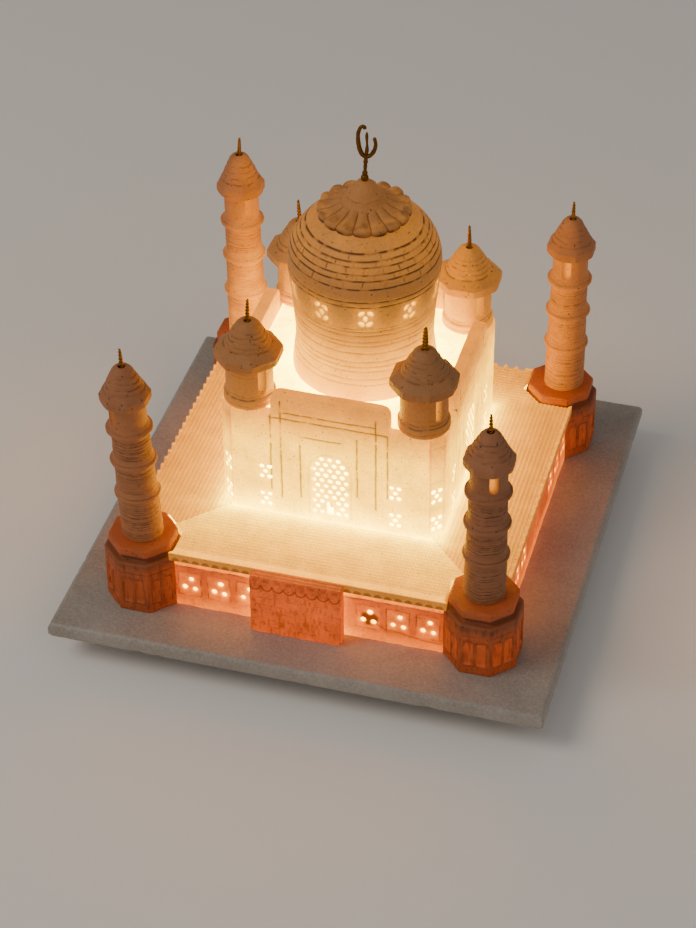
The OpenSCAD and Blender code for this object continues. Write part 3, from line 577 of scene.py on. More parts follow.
def gateBlock():
    obj = sawnCopy("carved_gate", "gate_block", 0.36, 2)
    points, normals = readPoints(obj), readNormals(obj)
    u, out, z = turnedTo(points, 0)
    u = u + 3.1
    v = z - plinth["slabTop"]
    depth = out + plinth["edge"] + 5.4
    outer = smoothStep(1.4, 0.5, depth)
    rng = np.random.default_rng(60)
    lines = []
    for course in (3.4, 7.2, 11.0, 14.8, 18.4):
        for k in range(6):
            x = -17.5 + 6.2 * k + rng.uniform(-1.5, 1.5)
            lines.append((x, course, x + rng.uniform(2.2, 5.0), course + rng.uniform(-0.2, 0.2)))
            lines.append((x, course, x + rng.uniform(-0.3, 0.3), course - rng.uniform(1.2, 3.6)))
    swags = []
    for k in range(8):
        for a in np.arange(math.pi, 2 * math.pi - 0.1, 0.52):
            middle = 4.55 * (k - 3.5)
            swags.append((middle + 2.1 * math.cos(a), 24.2 + 2.3 * math.sin(a),
                          middle + 2.1 * math.cos(a + 0.53), 24.2 + 2.3 * math.sin(a + 0.53)))
    cut = 0.7 * scribed(u, v, lines, 0.24, 61) * outer * smoothStep(-0.5, 0.4, lumps(points, 3 * mm, 64))
    cut = np.maximum(cut, outer * scribed(u, v, swags, 0.3, 65))
    flute = 0.35 * (0.5 + 0.5 * np.cos(2 * math.pi * (depth - 0.2) / 1.75)) * smoothStep(27.0, 27.6, v)
    points += normals * ((0.2 * roughness(points, 4 * mm, 62) - 0.45 * cut - flute) * mm)[:, None]
    writePoints(obj, points)
    # painted shade: the recessed band near the top is darkened with the pigment colour
    nicheShade = smoothStep(24.6, 25.4, v) * smoothStep(27.4, 26.6, v) * smoothStep(0.4, 1.0, depth)
    bright = 0.62 + 0.2 * roughness(points, 8 * mm, 63) - 0.2 * smoothStep(18, 26, v)
    streak = np.stack([u * 0.9, v * 0.28, np.zeros_like(u)], axis=1)
    scrape = np.maximum(0, lumps(streak, 0.8, 66) - 0.1) * outer
    pigmentAndShade = np.maximum(np.maximum(cut * 0.8, 0.6 * scrape), 0.4 * nicheShade * smoothStep(3, 1.5, depth))
    return finishPiece(obj, plinthStone, "base", ["gate_block"],
                       {"glow": bright, "pigmentAndShade": pigmentAndShade})


def cornerBlock(i):
    name = "corner_block_" + corners[i]
    obj = sawnCopy("carved_" + name, name, 0.42, 2)
    points, normals = readPoints(obj), readNormals(obj)
    sx, sy = ((-1, -1), (1, -1), (1, 1), (-1, 1))[i]
    x = points[:, 0] / mm - sx * plinth["blockAt"]
    y = points[:, 1] / mm - sy * plinth["blockAt"]
    v = points[:, 2] / mm - plinth["slabTop"]
    angle = np.arctan2(y, x)
    face = (angle + math.pi / 8) % (math.pi / 4) - math.pi / 8
    radius = np.hypot(x, y)
    along = radius * np.sin(face)
    skin = smoothStep(1.6, 0.6, plinth["blockHalf"] - radius * np.cos(face)) * smoothStep(24.6, 23.8, v)
    lines = [(-5.3, 19.4, 5.3, 19.4), (-4.2, 4, -4.2, 16), (-0.4, 4, -0.4, 16), (0.6, 4, 0.6, 16), (4.4, 4, 4.4, 16),
             (-4.2, 16, -0.4, 16), (0.6, 16, 4.4, 16), (-4.2, 4, -0.4, 4), (0.6, 4, 4.4, 4)]
    cut = scribed(along, v, lines, 0.26, 70 + i) * skin * smoothStep(-0.6, 0.3, lumps(points, 3 * mm, 73))
    tooling = 0.07 * np.sin(2 * math.pi * along / 1.1 + 1.5 * lumps(points, 6 * mm, 74)) * skin
    streak = np.stack([angle * 13, v * 0.25, np.full_like(v, i * 4.0)], axis=1)
    scrape = np.maximum(0, lumps(streak, 0.8, 72)) * skin
    # painted shade: a band near the top of the block is darkened with the pigment colour
    ledgeShade = smoothStep(24.4, 25.0, v) * smoothStep(27.0, 26.2, v)
    points += normals * ((0.22 * roughness(points, 5 * mm, 75 + i) + tooling - 0.35 * cut) * mm)[:, None]
    writePoints(obj, points)
    toHall = -(sx * x + sy * y) / math.sqrt(2) / 14.5
    panel = boxDistance(np.abs(along), v, 2.4, 10, 1.5, 5.2)
    bright = 0.1 + 0.2 * np.clip(toHall, 0, 1) + 0.05 * roughness(points, 9 * mm, 79 + i)
    bright += (0.03, 0.12, 0.08, 0.1)[i] * smoothStep(0.8, 0, panel) * skin
    # painted shade: the glow is dimmed in a band near the top of the block
    bright *= 1 - 0.85 * smoothStep(20, 24, v) * smoothStep(27.8, 26.8, v)
    return finishPiece(obj, plinthStone, "base", [name],
                       {"glow": np.maximum(0.02, bright), "pigmentAndShade": np.max([cut * 0.6, scrape * 0.5, ledgeShade * 0.35], axis=0)})


def terraceBoard(i):
    # boards planed with a flute cutter along each side, then scored across
    edge, top, opening = plinth["edge"], plinth["top"], plinth["opening"]
    depths = np.arange(0, edge - opening + 0.01, 0.215)
    columns = 360
    share = np.linspace(-1, 1, columns)
    y = edge - depths
    notch = plinth["blockAt"] - plinth["blockHalf"] - 0.05
    reach = np.minimum(y, notch + np.maximum(0, np.abs(y - plinth["blockAt"]) - 6.0))
    u = reach[:, None] * share[None, :]
    v = np.repeat(depths[:, None], columns, axis=1)
    band = 3.4 if i == 0 else 1.4
    flutes = np.where(v > band, 0.5 - 0.5 * np.abs(np.cos(math.pi * (v - band) / plinth["flute"])) ** 0.6, 0.12)
    flat = np.stack([u.ravel(), v.ravel(), np.full(u.size, i * 9.0)], axis=1)
    hatch = 0.5 + 0.5 * np.cos(2 * math.pi * (u + 0.25 * lumps(flat, 5, 80).reshape(u.shape)) / plinth["hatch"])
    scored = 0.07 * hatch ** 3 * (v > band)
    groove = 1 - flutes / 0.5
    height = top - plinth["fluteDeep"] * groove * (v > band) - scored
    height -= 0.08 * roughness(flat, 5, 81 + i).reshape(u.shape)
    if i > 0:
        fromNotch = (u + plinth["scallop"] / 2) % plinth["scallop"] - plinth["scallop"] / 2
        bite = np.sqrt(np.maximum(0, 1.6 ** 2 - fromNotch ** 2)) * smoothStep(1.5, 0.9, v)
        height -= bite * (np.abs(u) < 53)
    out = y[:, None] + np.zeros_like(u)
    drops = [0.12] + [0.3 * k for k in range(1, 14)] + [4.0]
    low = top - plinth["board"]
    side = [np.maximum(low, np.minimum(height[0], top - d)) for d in drops]
    rowsU = [u[-1], u[0]] + [u[0]] * len(drops) + list(u) + [u[-1]]
    rowsY = [out[-1], out[0]] + [out[0]] * len(drops) + list(out) + [out[-1]]
    rowsZ = [np.full(columns, low), np.full(columns, low)] + side[::-1] + list(height) + [np.full(columns, low)]
    gu, gy, gz = np.array(rowsU), np.array(rowsY), np.array(rowsZ)
    angle = math.pi / 2 * i
    x = gu * math.cos(angle) + gy * math.sin(angle)
    yy = gu * math.sin(angle) - gy * math.cos(angle)
    vertices = np.stack([x, yy, gz], axis=-1).reshape(-1, 3) * mm
    rows = len(gu)
    faces = gridFaces(rows, columns, False)
    faces.append([r * columns for r in range(rows - 1)])
    faces.append([r * columns + columns - 1 for r in range(rows - 2, -1, -1)])
    obj = newObject("fluted_board_" + sides[i], vertices, faces)
    wallX, wallY, _ = turnedTo(vertices, 0, hall["middleY"])
    toHall = np.hypot(np.maximum(0, np.abs(wallX) - hall["half"]), np.maximum(0, np.abs(wallY) - hall["half"]))
    bright = (1.0 + 2.1 * np.exp(-toHall / 14)) * (1.65 if i == 0 else 0.95) + 4.5 * np.exp(-toHall / 2.5)
    # painted shade: the glow on the board's outer face, below its top edge, is dimmed
    shadeUnderEdge = (smoothStep(edge - 0.4, edge - 0.1, gy) * smoothStep(top + 0.1, top - 0.5, gz)).ravel()
    swag = np.hypot((gu + 2.05) % 4.1 - 2.05, gz - low - 0.2)
    scallops = 0.3 + 0.45 * smoothStep(1.75, 1.45, swag)
    pad = (scallops * smoothStep(edge - 0.3, edge - 0.05, gy) * (i == 0)).ravel()
    start = (2 + len(drops)) * columns
    pad[start:start + u.size] = (0.3 * groove * (v > band) + 0.24 * hatch ** 3 * (v > band)).ravel()
    return finishPiece(obj, terraceStone, "base", ["terrace_" + sides[i]],
                       {"glow": bright * (1 - 0.72 * shadeUnderEdge), "pigmentAndShade": pad})


def baseSlab():
    obj = sawnCopy("honed_slab", "base_slab", 1.0, 0)
    points, normals = readPoints(obj), readNormals(obj)
    x, y = np.abs(points[:, 0] / mm), np.abs(points[:, 1] / mm)
    arris = smoothStep(2.2, 0.4, np.minimum(100 - x, 100 - y)) * (np.abs(normals[:, 2]) < 0.95)
    chips = np.maximum(0, roughness(points, 4 * mm, 90) - 0.25) * 1.6 * arris
    points -= normals * ((0.03 + 0.05 * roughness(points, 12 * mm, 91) + chips) * mm)[:, None]
    writePoints(obj, points)
    return finishPiece(obj, slabStone, "base", ["base_slab"])


for i in range(4):
    plinthWall(i)
    cornerBlock(i)
    terraceBoard(i)
gateBlock()
baseSlab()
print("plinth and slab carved")

turning = {"columns": 200, "step": 0.22, "ringPitch": 1.05, "ringDeep": 0.27}


def collar(z, below, rim, above, tall):
    # a balcony turned on the shaft: a thin proud rim, hollow above it back to the shaft
    return [(below, z - 0.7), (below + 0.2, z - 0.1), (rim - 0.35, z + 0.3), (rim, z + 0.6), (rim + 0.05, z + 1.4),
            (rim - 0.2, z + 1.75), (rim - 0.8, z + 1.95), (above + 0.75, z + 0.68 * tall),
            (above + 0.45, z + 0.85 * tall), (above + 0.1, z + tall), (above, z + tall + 0.2)]


def turnedRings(theta, z, places, widths, depths, wander, seed):
    # grooves that run round a turned piece, wandering up and down a little, 0 to 1 times their depth
    flat = np.stack([np.cos(theta) * 6, np.sin(theta) * 6, np.full_like(theta, seed)], axis=1)
    drift = wander * lumps(flat, 3.0, seed)
    deep = np.zeros((len(z), len(theta)))
    for n, (place, width, depth) in enumerate(zip(places, widths, depths)):
        own = drift + 0.5 * wander * lumps(flat + n * 5.0, 2.0, seed + 3)
        near = np.abs(z - place) < 2.5
        rows = z[near][:, None] - place - own[None, :]
        deep[near] = np.maximum(deep[near], depth * np.exp(-(rows / width) ** 2))
    return deep


def slotPocket(theta, z, radius, direction, foot, head, width, left):
    # a slot sawn through a neck: both mouths go in to the radius left in the middle
    inside = np.zeros((len(z), len(theta)), bool)
    for turn in (0, 180):
        off = (theta - math.radians(direction + turn) + math.pi) % (2 * math.pi) - math.pi
        across = np.abs(off)[None, :] * radius
        low = foot + width / 2 - np.sqrt(np.maximum(0, (width / 2) ** 2 - across ** 2))
        inside |= (across < width / 2) & (z[:, None] > low) & (z[:, None] < head)
    return np.where(inside, left, 99.0)


tower = {"tenon": 2.95, "foot": 8.2, "neck": 7.2, "rim": 9.1, "collarTall": 3.6, "stages": (20.0, 36.4, 52.0), "top": 66.4,
         "capTall": 16.0, "eave": 18.6, "capTop": 3.1, "tall": (0.97, 0.95, 0.99, 1.08),
         "slot": (-129, -60, -90, -45), "lean": ((-0.046, 0.0), (0.004, 0.0), (0.0, 0.0), (-0.012, 0.0)),
         "shift": ((0, 0), (0, 0), (1.2, 0.4), (0, 0)), "seat": 49.55, "glow": (0.08, 0.03, 0.26, 1.5)}


def standTower(i, x, y, z):
    # puts a tower's points on its block, leaning as the real ones do
    sx, sy = ((-1, -1), (1, -1), (1, 1), (-1, 1))[i]
    leanX, leanY = tower["lean"][i]
    shiftX, shiftY = tower["shift"][i]
    over = np.maximum(z, 0)                      # the tenon stays upright in its socket
    above = smoothStep(-0.2, 0.2, z)
    x = x + sx * plinth["blockAt"] + shiftX * above + leanX * over
    y = y + sy * plinth["blockAt"] + shiftY * above + leanY * over
    return x, y, z + tower["seat"]


def towerGlow(i, x, y, share):
    # painted light: more glow on the side that faces the hall, standing in for the hall's light falling on it
    sx, sy = ((-1, -1), (1, -1), (1, 1), (-1, 1))[i]
    toward = np.clip(-(x * sx + y * sy) / np.hypot(x, y).clip(1) / math.sqrt(2), 0, 1)
    return tower["glow"][i] * (0.5 + 1.2 * toward) * share


def towerShaft(i):
    k = tower["tall"][i]
    rng = np.random.default_rng(100 + i)
    step = (tower["foot"] - tower["neck"]) / 3
    outline = [(tower["tenon"] - 0.3, -8.0), (tower["tenon"], -7.6), (tower["tenon"], 0.0), (tower["foot"] - 0.3, 0.0),
               (tower["foot"], 0.4)]
    for n, z in enumerate(tower["stages"]):
        below = tower["foot"] - n * step
        outline += collar(z * k, below - 0.1, tower["rim"], below - step, tower["collarTall"])
    outline.append((tower["neck"], tower["top"] * k))
    rows = softened(resample(outline, turning["step"]), 1)
    radius, z = rows[:, 0], rows[:, 1]
    theta = np.arange(turning["columns"]) * 2 * math.pi / turning["columns"]
    bare = [(s * k - 1.2, s * k + tower["collarTall"] + 0.4) for s in tower["stages"]]
    places = [p for p in np.arange(1.0, bare[2][0], turning["ringPitch"])
              + rng.uniform(-0.35, 0.35, len(np.arange(1.0, bare[2][0], turning["ringPitch"])))
              if not any(a < p < b for a, b in bare)]
    edges = [s * k + d for s in tower["stages"] for d in (0.05, 2.1)]
    widths = np.append(rng.uniform(0.14, 0.28, len(places)), [0.2] * 6)
    depths = np.append(rng.uniform(0.3, 1.0, len(places)), [0.7, 0.4] * 3)
    deep = turnedRings(theta, z, list(places) + edges, widths, depths, 0.35, 110 + i)
    r = radius[:, None] - turning["ringDeep"] * 1.3 * deep
    x, y = r * np.cos(theta), r * np.sin(theta)
    points = np.stack([x, y, z[:, None] + 0 * r], axis=-1).reshape(-1, 3)
    r = r + 0.16 * roughness(points, 3.2, 120 + i).reshape(r.shape)
    r = r * (1 + 0.006 * np.cos(theta - i))[None, :]
    slotFoot = tower["stages"][2] * k + tower["collarTall"] + 0.8
    pocket = slotPocket(theta, z, tower["neck"], tower["slot"][i], slotFoot, tower["top"] * k - 0.8, 3.6, 3.4)
    r = np.minimum(r, pocket)
    x, y = r * np.cos(theta), r * np.sin(theta)
    broken = smoothStep(-0.35, 0.25, lumps(points, 1.8, 130 + i)).reshape(r.shape)
    pigmentAndShade = np.clip(deep * (0.35 + 0.65 * broken), 0, 1) * (0.8, 1.0, 0.7, 0.6)[i]
    # painted shade: the front-right tower is darkened all over with the pigment colour
    pigmentAndShade = np.maximum(pigmentAndShade, (0.0, 0.14, 0.0, 0.0)[i])
    share = np.exp(-z / 40)[:, None] if i == 3 else 1.0
    glow = np.maximum(0.01, towerGlow(i, x, y, share) * (1 + 0.35 * lumps(points, 7, 140 + i).reshape(r.shape)))
    glow = np.where(pocket < 90, (0.35, 1.3, 1.1, 0.8)[i], glow)
    wx, wy, wz = standTower(i, x, y, z[:, None] + 0 * r)
    obj = turnedObject("turned_shaft_" + corners[i], wx, wy, wz)
    ends = [0.02, 0.02]
    return finishPiece(obj, turnedStone, "tower_" + corners[i],
                       ["tower_shaft_" + corners[i]],
                       {"glow": np.append(glow.ravel(), ends), "pigmentAndShade": np.append(pigmentAndShade.ravel(), ends)})


def roofCap(width, neck, coneFoot, topRadius, tall, rings, seed, columns):
    # a thick eight-sided eave with a sloped top, a bell in fine turned steps on it, a round drilled top
    eave, shoulder = 0.22 * tall, 0.38 * tall
    outline = [(neck, 0.0), (width * 0.49, 0.05), (width * 0.54, 0.7), (width * 0.54, eave),
               (width * 0.53, eave + 0.3), (coneFoot + 0.8, shoulder - 0.2), (coneFoot + 0.35, shoulder)]
    for n in range(rings):
        t0, t1 = n / rings, (n + 1) / rings
        low, high = shoulder + (tall - 1.6 - shoulder) * t0, shoulder + (tall - 1.6 - shoulder) * t1
        rLow, rHigh = (topRadius + 0.6 + (coneFoot - 0.4 - topRadius) * (1 - t) ** 0.95 for t in (t0, t1))
        outline += [(rLow + 0.05, low + 0.05), (0.4 * rLow + 0.6 * rHigh + 0.35, 0.5 * low + 0.5 * high),
                    (rHigh + 0.4, high - 0.12)]
    outline += [(topRadius + 0.6, tall - 1.5), (topRadius + 0.1, tall - 0.7), (topRadius - 0.9, tall - 0.1),
                (1.5, tall), (1.2, tall - 1.2)]
    rows = softened(resample(outline, turning["step"]), 2)
    radius, z = rows[:, 0], rows[:, 1]
    theta = np.arange(columns) * 2 * math.pi / columns
    r = np.repeat(radius[:, None], columns, axis=1)
    off = (theta + math.pi / 8) % (math.pi / 4) - math.pi / 8
    flats = (width / 2 / np.cos(off))[None, :] + 0 * r
    slope = np.clip((z - eave) / (shoulder - eave), 0, 1)[:, None]
    ground = (z < shoulder)[:, None] & (radius > coneFoot + 0.5)[:, None]
    r = np.where(ground, np.minimum(r, flats * (1 - slope) + (coneFoot + 0.6) * slope), r)
    rng = np.random.default_rng(seed)
    seams = [shoulder + (tall - 1.6 - shoulder) * n / rings for n in range(rings)]
    deep = turnedRings(theta, z, seams, [0.2] * rings, rng.uniform(0.3, 0.7, rings), 0.3, seed)
    points = np.stack([r * np.cos(theta), r * np.sin(theta), z[:, None] + 0 * r], axis=-1).reshape(-1, 3)
    r = r - 0.2 * deep + 0.24 * roughness(points, 3.0, seed + 1).reshape(r.shape)
    # painted shade: the inside of the drilled top is darkened with the pigment colour
    drilledHoleShade = (radius < 1.35)[:, None] & (z > tall - 2)[:, None]
    broken = smoothStep(-0.3, 0.4, lumps(points, 2.0, seed + 2)).reshape(r.shape)
    speckle = 0.8 * smoothStep(0.48, 0.66, roughness(points, 1.6, seed + 5)).reshape(r.shape)
    pigmentAndShade = np.maximum(np.maximum(deep * 0.9 * broken, speckle), np.where(drilledHoleShade, 0.9, 0))
    return r, z, theta, pigmentAndShade, points


def towerCap(i):
    k = tower["tall"][i]
    r, z, theta, pigmentAndShade, points = roofCap(tower["eave"], tower["neck"] - 0.3, 7.4, tower["capTop"],
                                           tower["capTall"] * k, 4, 150 + i, turning["columns"])
    x, y = r * np.cos(theta), r * np.sin(theta)
    glow = towerGlow(i, x, y, 0.12 if i == 3 else 0.4) * (1 + 0.3 * lumps(points, 6, 160 + i).reshape(r.shape))
    wx, wy, wz = standTower(i, x, y, z[:, None] + tower["top"] * k + 0 * r)
    obj = turnedObject("turned_cap_" + corners[i], wx, wy, wz)
    return finishPiece(obj, turnedStone, "tower_" + corners[i],
                       ["tower_cap_" + corners[i]],
                       {"glow": np.append(np.maximum(0.01, glow).ravel(), [0, 0]),
                        # painted shade: the last value darkens the bottom of the drilled top
                        "pigmentAndShade": np.append(pigmentAndShade.ravel(), [0, 0.9])})


pavilion = {"at": 35.0, "foot": 10.3, "drum": 9.4, "tall": 19.4, "eave": 25.2, "cone": 8.9, "capTop": 3.7,
            "capTall": 16.6, "slot": (-40, -37, -45, -137), "glow": (0.26, 0.12, 0.55, 0.4)}


def pavilionPlace(i):
    sx, sy = ((-1, -1), (1, -1), (1, 1), (-1, 1))[i]
    return sx * pavilion["at"], hall["middleY"] + sy * pavilion["at"]


def pavilionDrum(i):
    px, py = pavilionPlace(i)
    foot, drum, tall = pavilion["foot"], pavilion["drum"], pavilion["tall"]
    outline = [(foot - 0.3, 0.0), (foot, 0.4), (foot + 0.05, 1.6), (foot - 0.2, 2.2), (foot - 0.1, 2.6),
               (foot, 3.3), (foot - 0.3, 4.0), (drum + 0.15, 4.5), (drum, 5.2), (drum - 0.1, tall - 1.5),
               (drum, tall)]
    rows = softened(resample(outline, turning["step"]), 2)
    radius, z = rows[:, 0], rows[:, 1]
    theta = np.arange(turning["columns"]) * 2 * math.pi / turning["columns"]
    rng = np.random.default_rng(170 + i)
    places = [1.9, 4.3, 5.3, 5.8, tall - 1.6] + list(rng.uniform(7, tall - 2.5, 2))
    depths = np.append([0.4, 1.0, 0.5, 0.7, 0.4], rng.uniform(0.1, 0.35, 2))
    deep = turnedRings(theta, z, places, rng.uniform(0.18, 0.3, 7), depths, 0.3, 174 + i)
    r = radius[:, None] - 0.25 * deep
    points = np.stack([r * np.cos(theta), r * np.sin(theta), z[:, None] + 0 * r], axis=-1).reshape(-1, 3)
    r = r + 0.15 * roughness(points, 3.2, 178 + i).reshape(r.shape)
    pocket = slotPocket(theta, z, drum, pavilion["slot"][i], 6.4, tall - 1.6, 3.1, 6.0)
    r = np.minimum(r, pocket)
    broken = smoothStep(-0.4, 0.3, lumps(points, 2.0, 182 + i)).reshape(r.shape)
    pigmentAndShade = deep * (0.3 + 0.7 * broken) * 0.75
    x, y = r * np.cos(theta), r * np.sin(theta)
    toDome = np.clip(-(x * px + y * py) / (np.hypot(x, y) * math.hypot(px, py)), 0, 1)
    glow = pavilion["glow"][i] * (0.7 + 1.6 * toDome + 1.1 * np.exp(-z / 5)[:, None])
    glow = np.where(pocket < 90, (1.0, 1.3, 1.2, 1.0)[i], glow)
    obj = turnedObject("turned_drum_" + corners[i], x + px, y + py, z[:, None] + hall["eaves"] + 0 * r)
    return finishPiece(obj, domeStone, "hall", ["pavilion_drum_" + corners[i]],
                       {"glow": np.append(glow.ravel(), [0.1, 0.1]),
                        "pigmentAndShade": np.append(pigmentAndShade.ravel(), [0, 0])})


def pavilionCap(i):
    px, py = pavilionPlace(i)
    r, z, theta, pigmentAndShade, points = roofCap(pavilion["eave"], pavilion["drum"] - 0.3, pavilion["cone"],
                                           pavilion["capTop"], pavilion["capTall"], 5, 190 + 3 * i,
                                           turning["columns"] + 40)
    x, y = r * np.cos(theta), r * np.sin(theta)
    toDome = np.clip(-(x * px + y * py) / (np.hypot(x, y) * math.hypot(px, py)), 0, 1)
    glow = (0.06, 0.01, 0.42, 0.2)[i] * (0.6 + 0.9 * toDome) + 0 * z[:, None]
    foot = hall["eaves"] + pavilion["tall"]
    obj = turnedObject("turned_roof_" + corners[i], x + px, y + py, z[:, None] + foot + 0 * r)
    return finishPiece(obj, domeStone, "hall", ["pavilion_cap_" + corners[i]],
                       {"glow": np.append(glow.ravel(), [0.01, 0.01]),
                        # painted shade: the last value darkens the bottom of the drilled top
                        "pigmentAndShade": np.append(pigmentAndShade.ravel(), [0, 0.9])})


for i in range(4):
    towerShaft(i)
    towerCap(i)
    pavilionDrum(i)
    pavilionCap(i)
print("towers and pavilions turned")

dome = {"x": 1.8, "y": 3.3, "belt": 48.6, "rise": 25.5, "wide": 29.95, "columns": 440, "step": 0.24,
        "rings": (65.3, 63.1, 61.2, 58.7, 56.5, 53.4, 47.8, 45.5, 34.6, 33.2, 31.2, 28.0, 26.0, 22.4, 18.0,
                  15.7, 13.4, 10.0, 7.6), "bricks": 24, "windows": 10, "windowAt": 39.6, "firstWindow": -73.8,
        "crownWide": 18.2, "petals": 16}


def domeOutline():
    drum = [(28.7, 0.0), (28.5, 3.0), (28.1, 5.8), (27.2, 12.5), (27.2, 18.0), (27.9, 27.0), (28.4, 33.0),
            (29.3, 40.5)]
    cap = [(dome["wide"] * math.cos(a), dome["belt"] + dome["rise"] * math.sin(a))
           for a in np.radians(np.arange(0, 80, 4))]
    return drum + cap


def domeShell():
    rows = softened(resample(domeOutline(), dome["step"]), 3)
    radius, z = rows[:, 0], rows[:, 1]
    columns = dome["columns"]
    theta = np.arange(columns) * 2 * math.pi / columns
    rng = np.random.default_rng(200)
    rings = dome["rings"]
    deep = turnedRings(theta, z, rings, rng.uniform(0.24, 0.34, len(rings)), rng.uniform(0.7, 1.0, len(rings)),
                       0.3, 201)
    courses = list(zip(rings[:5], rings[1:6]))
    joint = np.zeros_like(deep)
    for n, (high, low) in enumerate(courses):
        within = smoothStep(low + 0.1, low + 0.4, z) * smoothStep(high - 0.1, high - 0.4, z)
        for k in range(dome["bricks"]):
            at = (k + 0.5 * (n % 2) + rng.uniform(-0.16, 0.16)) * 2 * math.pi / dome["bricks"]
            off = (theta - at + math.pi) % (2 * math.pi) - math.pi
            seen = rng.uniform() < (0.85 if -2.2 < (at + math.pi) % (2 * math.pi) - math.pi < 0.4 else 0.35)
            slant = off[None, :] * radius[:, None] + rng.uniform(-0.3, 0.3) * (z - low)[:, None]
            mark = np.exp(-(slant / 0.24) ** 2) * smoothStep(low, low + rng.uniform(0.1, 2.2), z)[:, None]
            joint = np.maximum(joint, seen * rng.uniform(0.3, 0.9) * mark * within[:, None])
    deep = np.maximum(deep, joint * 0.9)
    r = radius[:, None] - 0.34 * deep
    points = np.stack([r * np.cos(theta), r * np.sin(theta), z[:, None] + 0 * r], axis=-1).reshape(-1, 3)
    r = r + 0.2 * roughness(points, 5.0, 202).reshape(r.shape)
    r = r * (1 + 0.003 * np.cos(2 * theta + 1))[None, :]
    window = np.full_like(r, 99.0)
    hole = np.full_like(r, 99.0)
    for k in range(dome["windows"]):
        at = math.radians(dome["firstWindow"] + 36 * k)
        across = ((theta - at + math.pi) % (2 * math.pi) - math.pi)[None, :] * radius[:, None]
        rise = z[:, None] - dome["windowAt"]
        window = np.minimum(window, np.maximum(np.abs(across) - 3.3, np.abs(rise) - 4.6))
        for a, b, tilt in ((-1.6, -2.5, 0.8), (1.6, -2.5, -0.8), (0, 0, 0), (-1.6, 2.5, -0.8), (1.6, 2.5, 0.8)):
            ca, sa = math.cos(tilt), math.sin(tilt)
            du, dv = across - a - rng.uniform(-0.3, 0.3), rise - b - rng.uniform(-0.3, 0.3)
            hole = np.minimum(hole, np.hypot((du * ca + dv * sa) / 0.85, (dv * ca - du * sa) / 1.3))
    windowEdge = np.exp(-(window / 0.3) ** 2)
    r = r - 0.4 * smoothStep(0.1, -0.3, window) - 1.8 * smoothStep(1.15, 0.85, hole)
    broken = smoothStep(-0.5, 0.2, lumps(points, 2.4, 204)).reshape(r.shape)
    speckle = 0.8 * smoothStep(0.5, 0.7, roughness(points, 1.2, 207)).reshape(r.shape)
    rub = 0.55 + 0.9 * smoothStep(38, 50, z)[:, None]
    pigmentAndShade = np.maximum(np.minimum(1, deep * rub * (0.3 + 0.7 * broken)), np.maximum(0.35 * windowEdge, speckle))
    pigmentAndShade = pigmentAndShade * smoothStep(1.1, 1.6, hole)
    glow = 0.16 + 1.7 * smoothStep(47, 5, z) + 0.16 * smoothStep(50, 60, z)
    glow = glow[:, None] * (1 + 0.2 * lumps(points, 8, 205).reshape(r.shape))
    glow = glow + 0.5 * np.exp(-np.maximum(0, window) / 1.5) + 2.4 * smoothStep(1.3, 0.9, hole)
    x, y = dome["x"] + r * np.cos(theta), dome["y"] + r * np.sin(theta)
    split = int(np.searchsorted(z, 43.0))
    for name, part in (("turned_dome_drum", slice(0, split + 1)), ("turned_dome_cap", slice(split, None))):
        obj = turnedObject(name, x[part], y[part], (z[:, None] + hall["eaves"] + 0 * r)[part])
        finishPiece(obj, domeStone, "hall", ["dome"],
                    {"glow": np.append(glow[part].ravel(), [0.5, 0]),
                     "pigmentAndShade": np.append(pigmentAndShade[part].ravel(), [0, 0])})


